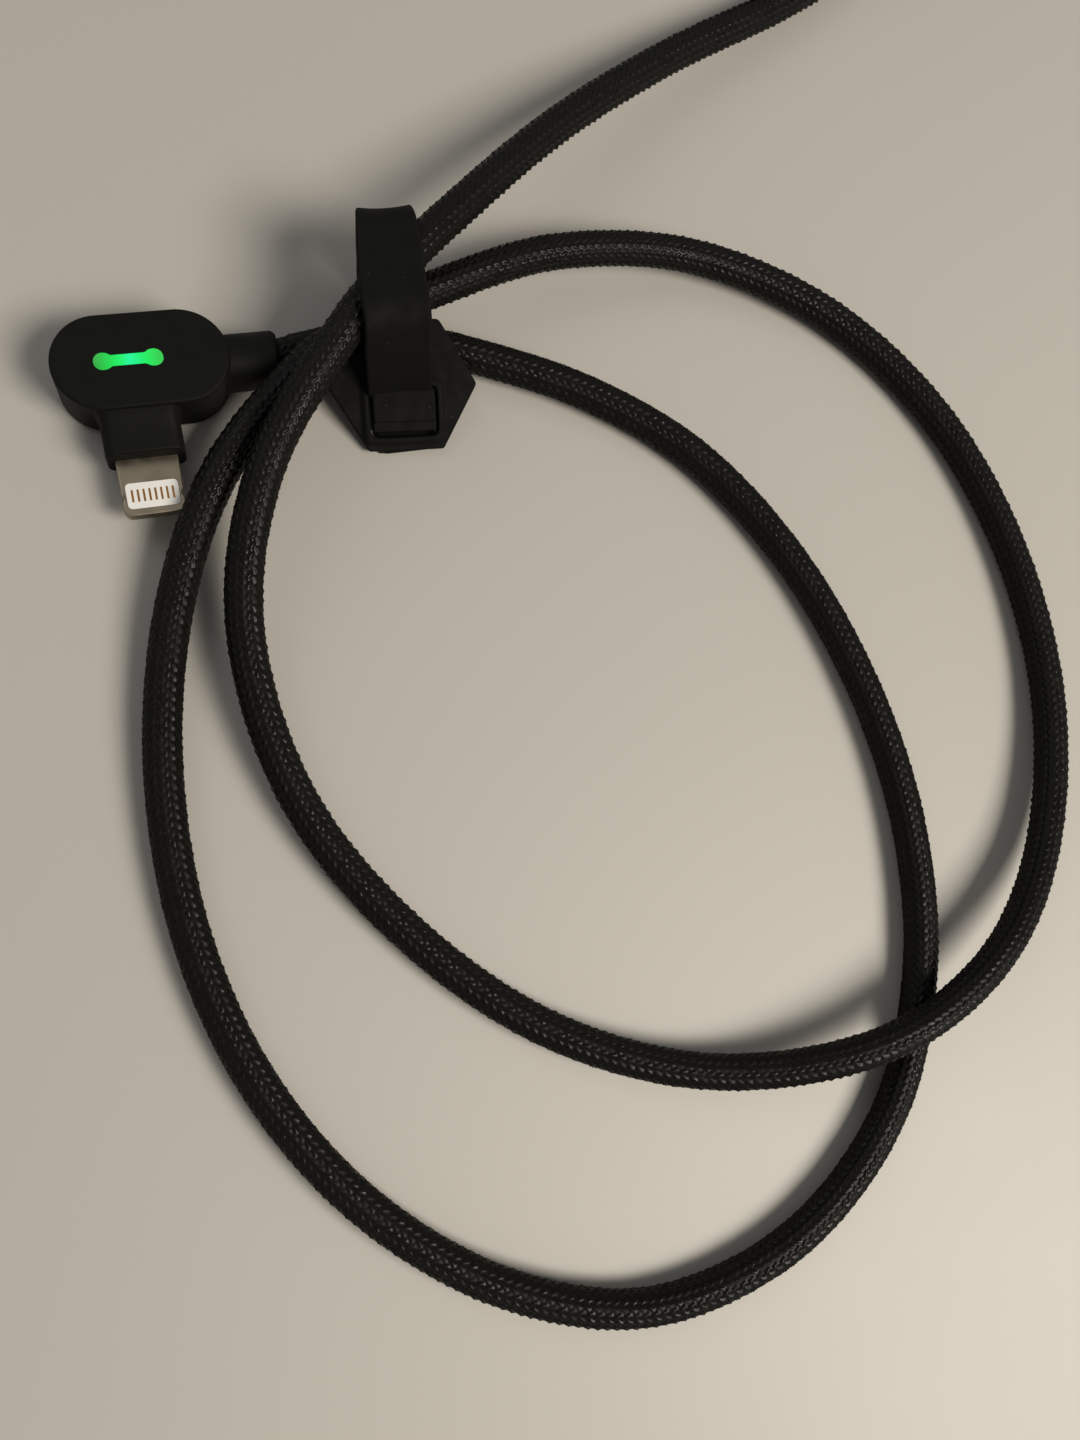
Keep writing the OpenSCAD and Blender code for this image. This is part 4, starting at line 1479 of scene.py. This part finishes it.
@dataclass(frozen=True)
class Strap:
    """Silicone strap: a hexagonal plate with a slot, a band that runs from the plate's
    lower edge under the cords, up and over them, and a foot that sits in the slot.

    Its own frame has x across the band and y up the band from the plate's lower edge.

    Attributes:
        at, turn: place of its origin, and its turn about Z in degrees.
        band_turn, band_pivot: the band's own turn, and how far up the band its pivot lies.
        plate_z, slope: height of the plate's lower edge, and the plate's slope in degrees.
        hexagon: length of the plate's lower side, and the plate's width and height.
        cut: share of the upper left side at which the corner is cut off, and x of the
            cut's other end, on the top side.
        plate, plate_edge: the plate's thickness, and the radius of its edges.
        plate_sharpness, slot_sharpness: powers that give its outline and slot their corners.
        slot, slot_x: the slot's width, length and distance from the plate's lower edge, and
            how far to the side it lies.
        lip_width, lip_height: the raised lip round the slot.
        band, band_corner: width and thickness of the band, and the radius of its corners.
        back_end, back_bend: where the band starts to rise, and the radius of its rise.
        top, top_bend: height of its highest point, and the radius of the bend before it.
        front, front_turn, front_bend: y and z of the front run's lower end, the run's slope
            in degrees, and the radius of the bend before it.
        curl, curl_over, curl_from: how much a bend lifts the band's edges, over what length
            its curvature is evened out, and between what heights the lift sets in.
        foot, ledge: width, start and end of the foot in the slot and of the step before it.
        foot_height, ledge_height: how far they stand out of the plate.
        foot_edge, ledge_edge: radii of their edges.
        bend_from, bend_length: height at which the opening bend starts, and its length; not used.
        under_drift, over_drift: (distance along the band, how far its left edge and its
            right edge lie off their straight course).
        drift_over: length over which the drift is evened out.
        under_step, over_step: distance between the band's rings.
    """

    at: Point = (29.5, -11.4, 0.0)
    turn: float = -4.0
    band_turn: float = 4.0
    band_pivot: float = 4.0
    plate_z: float = 0.75
    slope: float = 25.0
    hexagon: tuple[float, float, float] = (9.0, 17.6, 14.8)
    cut: tuple[float, float] = (0.4, 1.0)
    plate: float = 1.0
    plate_edge: float = 0.22
    plate_sharpness: float = 70.0
    slot_sharpness: float = 9.0
    slot: tuple[float, float, float] = (8.1, 5.8, 1.6)
    slot_x: float = -0.2
    lip_width: float = 1.0
    lip_height: float = 0.35
    band: tuple[float, float] = (7.0, 1.0)
    band_corner: float = 0.28
    back_end: float = 18.0
    back_bend: float = 5.2
    top: float = 15.8
    top_bend: float = 3.6
    front: tuple[float, float] = (6.0, 4.2)
    front_bend: float = 3.5
    front_turn: float = 72.0
    curl: float = 0.9
    curl_over: float = 2.5
    curl_from: tuple[float, float] = (7.0, 12.0)
    foot: tuple[float, float, float] = (7.5, 3.3, 7.05)
    foot_height: float = 0.8
    foot_edge: float = 0.3
    ledge: tuple[float, float, float] = (7.5, 2.2, 3.5)
    ledge_height: float = 0.35
    ledge_edge: float = 0.2
    bend_from: float = 6.7
    bend_length: float = 3.7
    under_drift: tuple[Point, ...] = (
        (0.0, 0.0, 0.0), (8.0, 0.0, 0.0), (14.0, 0.9, 0.9), (18.0, 1.0, 1.0)
    )
    over_drift: tuple[Point, ...] = (
        (0.0, 1.0, 1.0), (8.2, 1.35, 1.2), (11.0, 1.25, 0.4), (12.5, 1.15, 0.1), (14.2, 0.95, 0.0),
        (16.0, 0.25, -0.6), (18.8, -0.4, -0.6), (22.0, -0.9, -0.7), (24.0, -1.15, -0.8),
        (27.7, -1.45, -0.95), (32.0, -1.4, -1.0), (36.0, -1.1, -0.5), (41.5, -0.7, -0.1),
    )
    drift_over: float = 2.4
    under_step: float = 0.6
    over_step: float = 0.3

    def band_frame(self) -> Array:
        """Matrix of the band: the strap's own frame, turned about a point near its foot."""
        pivot = shift(0.0, self.band_pivot, 0.0, self.band_turn) @ shift(0.0, -self.band_pivot, 0.0)
        return shift(*self.at, self.turn) @ pivot

    def plate_frame(self) -> Array:
        """Matrix of the plate: x across, y up its slope, z out of its face."""
        x, y, z = self.at
        return shift(x, y, z + self.plate_z, self.turn, self.slope)

    def plate_edges(self, middle: float) -> list[tuple[float, float]]:
        """Edges of the plate's outline, seen from a point on the slot's mid line.

        Between the corners p and q the outward normal is (q - p) turned back by a
        quarter, and the edge's distance is the share of p along it.

        Args:
            middle: the point's distance up the plate.

        Returns:
            (angle of the normal in degrees, distance) of each edge.
        """
        low, wide, high = self.hexagon
        share, top_from = self.cut
        left = np.array([-wide / 2, high / 2])
        cut = left + share * (np.array([-low / 2, high]) - left)
        corners = np.array([
            [-low / 2, 0.0], [low / 2, 0.0], [wide / 2, high / 2], [low / 2, high],
            [top_from, high], cut, left,
        ]) - [self.slot_x, middle]
        along = unit(np.roll(corners, -1, axis=0) - corners)
        normal = np.stack([along[:, 1], -along[:, 0]], 1)
        angle = np.degrees(np.arctan2(normal[:, 1], normal[:, 0]))
        return list(zip(angle, (corners * normal).sum(1)))

    def plate_surface(self) -> Grid:
        """The plate as a ring of rings about the slot's middle: up the slot's wall, over
        the lip, out to the hexagon's edge, round it, and back underneath.

        At a share k of the way down the lip, its height is that of the whole lip times
        (1 + cos(pi k)) / 2. Where the lip comes near the hexagon's edge, it is cut short.

        Returns:
            The grid.
        """
        theta = np.linspace(0.0, 2 * np.pi, 288, endpoint=False)
        slot_w, slot_l, slot_from = self.slot
        middle = slot_from + slot_l / 2
        hexagon = self.plate_edges(middle)
        slot = [(0.0, slot_w / 2), (90.0, slot_l / 2), (180.0, slot_w / 2), (270.0, slot_l / 2)]

        def hexagon_at(inset: float) -> Array:
            """The plate's outline as distances, drawn in by inset."""
            return ray_outline(theta, [(a, d - inset) for a, d in hexagon], self.plate_sharpness)

        def slot_at(grow: float) -> Array:
            """The slot's outline as distances, grown by grow."""
            return ray_outline(theta, [(a, d + grow) for a, d in slot], self.slot_sharpness)

        half, e, lip = self.plate / 2, self.plate_edge, self.lip_height
        flat, bevel = 0.15, 0.1  # of the lip's top, and of the slot's lower edge
        brim, apart = e + 0.03, 0.01  # last ring of the face, and the gap to those before it
        rows = [(slot_at(0.0), bevel - half), (slot_at(0.0), half + lip - e)]
        rows += [(slot_at(grow), half + lip - drop) for drop, grow in rounding(e, 4)]
        for k in np.linspace(0.0, 1.0, 7):
            outwards = slot_at(e + flat + (self.lip_width - e) * k)
            rows.append((outwards, half + lip * (1 + math.cos(math.pi * k)) / 2))
        rows.append((np.minimum(rows[-1][0] + BESIDE, hexagon_at(brim + 2 * apart)), half))
        rows = [(np.minimum(r, hexagon_at(brim + apart)), z) for r, z in rows]
        rows.append((hexagon_at(brim), half))
        edge = [(hexagon_at(inset), half - drop) for inset, drop in rounding(e, 4)]
        rows += edge + [(r, -z) for r, z in reversed(edge)]
        rows += [(hexagon_at(brim + 2 * apart), -half), (slot_at(flat), -half)]
        rings = [at_height(polar(r, theta) + [self.slot_x, middle], z) for r, z in rows]
        return Grid(np.stack(rings), round_rows=True)

    def ribbon(
        self, path: Array, drift: tuple[Point, ...], step: float,
        curl: Callable[[Array, Array], Array] | None = None,
    ) -> Array:
        """The band's rounded section carried along a path of (y, z) points.

        A point moves off the path by its section, plus outwards by the curl times the
        square of its share of the half width, as a bent strip does. Across the band it
        moves by a mix of the drifts of the left and the right edge, by its share.

        Args:
            path: points in the strap's own frame.
            drift: (distance along the path, drift of the left edge, of the right edge).
            step: distance between the rings.
            curl: gives how far the edges lift at each ring, from the rings' places and
                directions; None for a flat band.

        Returns:
            Rings, closed at both ends.
        """
        flat = np.concatenate([np.zeros((len(path), 1)), path], 1)
        total = lengths(flat)[-1]
        at = np.linspace(0.0, total, int(total / step) + 1)
        line = resample(flat, at)[:, 1:]
        ahead = unit(np.gradient(line, axis=0))
        outward = np.stack([ahead[:, 1], -ahead[:, 0]], 1)
        along, *sides = np.array(drift).T
        window = int(self.drift_over / step) | 1
        left, right = (evened(np.interp(at, along, side), window) for side in sides)
        w, t = self.band
        section = rounded_rectangle(w, t, self.band_corner, 5, 24)
        lift = np.zeros(len(line)) if curl is None else curl(line, ahead)
        off = section[None, :, 1] + lift[:, None] * (2 * section[None, :, 0] / w) ** 2
        place = line[:, None] + off[..., None] * outward[:, None]
        share = section[:, 0] / w
        x = section[:, 0] + left[:, None] * (0.5 - share) + right[:, None] * (0.5 + share)
        return with_poles(np.concatenate([x[..., None], place], 2))

    def bend_curl(self, line: Array, ahead: Array) -> Array:
        """How far the band's edges lift in a bend.

        It is curl times the path's curvature, evened out, and it fades towards the floor.

        Args:
            line: (y, z) of each ring.
            ahead: the path's direction there.

        Returns:
            The lift of each ring.
        """
        turn = np.unwrap(np.arctan2(ahead[:, 1], ahead[:, 0]))
        step = np.linalg.norm(line[1] - line[0])
        curvature = evened(np.gradient(turn) / step, int(self.curl_over / step) | 1)
        return self.curl * curvature * smooth_step(line[:, 1], *self.curl_from)

    def fold(self) -> Array:
        """Round bead in the fold, under the plate's lower edge: circles across the band,
        smaller towards its two ends.

        Returns:
            Rings, closed at both ends.
        """
        circle = np.linspace(0.0, 2 * np.pi, 24, endpoint=False)
        y, z = 0.45, 0.56
        half_profile = ((-3.0, 0.3), (-2.92, 0.44), (-2.75, 0.52), (-2.5, 0.55))
        profile = [*half_profile, *((-x, r) for x, r in reversed(half_profile))]
        rings = [
            np.stack([0 * circle + x, y + r * np.cos(circle), z + r * np.sin(circle)], 1)
            for x, r in profile
        ]
        return with_poles(np.stack(rings))

    def base_path(self) -> Array:
        """Band under the cords, from the fold to where it starts to rise."""
        fold_y, half = 0.2, self.band[1] / 2
        return np.array([[fold_y, half], [self.back_end, half]])

    def flap_path(self) -> Array:
        """Band from there up the back, over the top and down the front into the slot.

        The front run slopes by front_turn. Its upper end is where the bend's circle,
        started level at the top, has turned by that angle.

        Returns:
            (y, z) points.
        """
        half, r = self.band[1] / 2, self.front_bend
        rise, mid = self.back_end + self.back_bend, self.top - half
        turn = math.radians(self.front_turn)
        y, z = self.front
        run = (mid - r * (1 - math.cos(turn)) - z) / math.sin(turn)
        centre = (y + run * math.cos(turn) + r * math.sin(turn), mid - r)
        return np.concatenate([
            [[self.back_end, half]],
            arc((self.back_end, half + self.back_bend), self.back_bend, -90.0, 0.0, 24),
            arc((rise - self.top_bend, mid - self.top_bend), self.top_bend, 0.0, 90.0, 24),
            arc(centre, r, 90.0, 90.0 + self.front_turn, 24),
            [[y, z]],
        ])

    def block(
        self, width: float, start: float, end: float, low: float, high: float, edge: float
    ) -> Array:
        """Block in the slot, rounded all over its top: rounded rectangles one above the
        other, drawn in by a quarter circle.

        Args:
            width: across the plate.
            start: its first distance up the plate.
            end: its last distance up the plate.
            low: height of its base over the plate's middle.
            high: height of its top, likewise.
            edge: radius of its edges.

        Returns:
            Rings, closed at both ends.
        """
        rings, corner = [], edge + 0.12
        rows = [(edge, low), (0.0, low + edge / 2)]
        rows += [(inset, high - drop) for drop, inset in rounding(edge, 5)]
        rows.append((edge + BESIDE, high))
        for inset, z in rows:
            size = width - 2 * inset, end - start - 2 * inset
            shape = rounded_rectangle(*size, corner, side_steps=12)
            rings.append(at_height(shape + [self.slot_x, (start + end) / 2], z))
        return with_poles(np.stack(rings))

    def build(self) -> list[bpy.types.Object]:
        """Makes the plate with the band under the cords, and the band over them.

        The band over them keeps its place in its own mesh and goes with neither body; the foot goes
        with the flap.

        Returns:
            The pieces.
        """
        rubber, half = material("silicone_rubber"), self.plate / 2
        band_frame, plate_frame = self.band_frame(), self.plate_frame()
        below = self.ribbon(self.base_path(), self.under_drift, self.under_step)
        above = self.ribbon(self.flap_path(), self.over_drift, self.over_step, self.bend_curl)
        foot_grids = [
            Grid(self.block(*self.foot, -half, half + self.foot_height, self.foot_edge)),
            Grid(self.block(*self.ledge, -half, half + self.ledge_height, self.ledge_edge)),
        ]
        plate = make_piece("strap_plate", [self.plate_surface()], rubber, plate_frame)
        under = make_piece("strap_under_band", [Grid(self.fold()), Grid(below)], rubber, band_frame)
        over = make_piece("strap_over_band", [Grid(above)], rubber, band_frame)
        foot = make_piece("strap_foot", foot_grids, rubber, plate_frame)
        for piece in (plate, under):
            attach(piece, Body.CABLE.value)
            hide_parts("strap_base")
        for piece in (over, foot):
            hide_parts("strap_flap")
        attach(foot, Body.FLAP.value)
        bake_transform(over)
        made = [plate, under, over, foot]
        return made


# ------------------------------------------------------------------ coil tie


@dataclass(frozen=True)
class CoilTie:
    """Hook and loop tape round three neighbouring turns of the coil, its end lapped over
    on the outside.

    Attributes:
        route: the cord's route, which has the tie's place and thickness.
        width: of the tape.
        lap: directions, in degrees, between which its end laps over.
        turn_step: degrees between the directions that the tape's line is pulled tight in.
        step: distance between the tape's rings.
        corner: radius of the tape's corners.
        squash: how much thinner the pressed tape is, and how far its end sinks in.
    """

    route: CordRoute
    width: float = 8.6
    lap: tuple[float, float] = (-40.0, 95.0)
    turn_step: float = 4.0
    step: float = 0.3
    corner: float = 0.2
    squash: tuple[float, float] = (0.08, 0.1)

    def hull(self, normal: Array, rim: float) -> Array:
        """Points of the line pulled tight round the three turns.

        For a direction n, the circle whose centre c has the largest c . n carries the
        line, at c + r n.

        Args:
            normal: directions, in radians.
            rim: how far the line lies off the turns.

        Returns:
            (distance past the coil's radius, height) points.
        """
        r, lift = self.route.diameter / 2, self.route.tie_thickness
        centres = np.array([[r, r + lift], [0.0, r * (1 + math.sqrt(3)) + lift], [-r, r + lift]])
        n = polar(1.0, normal)
        return centres[np.argmax(n @ centres.T, 1)] + (r + rim) * n

    def strip(self, normals: Array, rim: float, closed: bool) -> Grid:
        """Tape of rounded section that follows the hull.

        The section lies across the tape. Its first axis goes along the coil's ring, as an
        angle about the coil's middle, and its second goes outwards from the line.

        Args:
            normals: directions that the line is pulled tight in, in radians.
            rim: how far the tape's middle lies off the turns.
            closed: the tape goes all round.

        Returns:
            The grid.
        """
        thin = self.route.tie_thickness - self.squash[0]
        section = rounded_rectangle(self.width, thin, self.corner, 4, 10)
        line = self.hull(normals, rim)
        flat = np.concatenate([line, 0 * line[:, :1]], 1)
        if closed:
            flat = np.concatenate([flat, flat[:1]])
        total = lengths(flat)[-1]
        count = int(total / self.step)
        line = resample(flat, np.linspace(0.0, total, count + 1))[:, :2]
        ahead = np.gradient(line, axis=0)
        if closed:
            line = line[:-1]
            ahead = np.roll(line, -1, axis=0) - np.roll(line, 1, axis=0)
        ahead = unit(ahead)
        outward = np.stack([ahead[:, 1], -ahead[:, 0]], 1)
        place = line[:, None] + section[None, :, 1:] * outward[:, None]
        turn = math.radians(self.route.tie_angle) + section[None, :, 0] / self.route.coil_radius
        ring = polar(self.route.coil_radius + place[..., 0], turn) + self.route.coil_at
        points = np.concatenate([ring, place[..., 1:]], -1)
        size = (0.0, count * self.step, 0.0, 2 * self.width)
        return Grid(points if closed else with_poles(points), round_rows=closed, uv=size)

    def build(self) -> bpy.types.Object:
        """Makes the tie.

        Returns:
            The piece.
        """
        thickness = self.route.tie_thickness
        turns = np.radians(np.arange(-90.0, 270.0, self.turn_step))
        lap = np.radians(np.arange(*self.lap, self.turn_step))
        rim = thickness / 2
        lapped = rim + thickness - self.squash[1]
        strips = [self.strip(turns, rim, True), self.strip(lap, lapped, False)]
        tie = make_piece("coil_tie_tape", strips, material("loop_tape"))
        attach(tie, Body.CABLE.value)
        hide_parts("coil_tie")
        return tie


# ------------------------------------------------------------------ main


def dress_nodes() -> None:
    """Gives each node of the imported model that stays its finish."""
    by_slot = {
        "head_shell": "moulded_elastomer", "light_guide": "lit_diffuser", "lamp": "lamp_resin",
        "circuit_board": "solder_mask", "chip_black": "epoxy_moulding", "chip_grey": "ceramic",
        "tab_steel": "blasted_steel", "carrier_white": "white_polymer",
        "contact_gold": "gold_plate", "collar_black": "moulded_elastomer",
        "crimp_steel": "crimped_steel", "wire_red": "red_insulation",
        "wire_black": "black_insulation", "wire_green": "green_insulation",
        "wire_white": "white_insulation", "braid": "pvc_jacket", "tie_fabric": "loop_tape",
        "strap_silicone": "silicone_rubber", "plug_steel": "nickel_plated_steel",
    }
    for part in frame["record"]["subparts"]:
        mesh = frame["nodes"][part["node"]].data
        mesh.materials.clear()
        mesh.materials.append(material(by_slot[part["material_slot"]]))


def main() -> None:
    """Builds the scene: camera and cord first, then the pieces on it."""
    logging.basicConfig(level=logging.INFO, format="%(name)s: %(message)s")
    studio, route = Studio(), CordRoute()
    studio.place_camera()
    jacket, sleeves, line = Cord(route).build()
    studio.place_floor()
    studio.place_light()
    dress_nodes()
    phone_head = PlugHead(
        "phone_head", at=(0.0, 0.0, 0.0), length=19.0, width=10.8, thickness=7.2, shift=1.3,
        neck=(8.5, 5.4, 4.8), window=Window(),
    )
    phone = phone_head.build(("head_case", "head_cover"), "exit_collar")
    tab = PhoneTab(phone_head.axis_z).build()
    strap = Strap().build()
    tie = CoilTie(route).build()
    charger_head = PlugHead(
        "charger_head", at=(25.0, 96.0, 0.0), length=24.0, width=13.0, thickness=8.0, shift=1.0,
        neck=(15.6, 7.4, 3.0),
    )
    outside = ("charger_case", "charger_cover", "charger_collar")
    charger = charger_head.build(outside[:2], outside[2])
    for piece in (jacket, *sleeves, *phone, tab, *strap, tie, *charger):
        LOG.info("%s: %d faces", piece.name, len(piece.data.polygons))


if __name__ == "__main__":
    main()
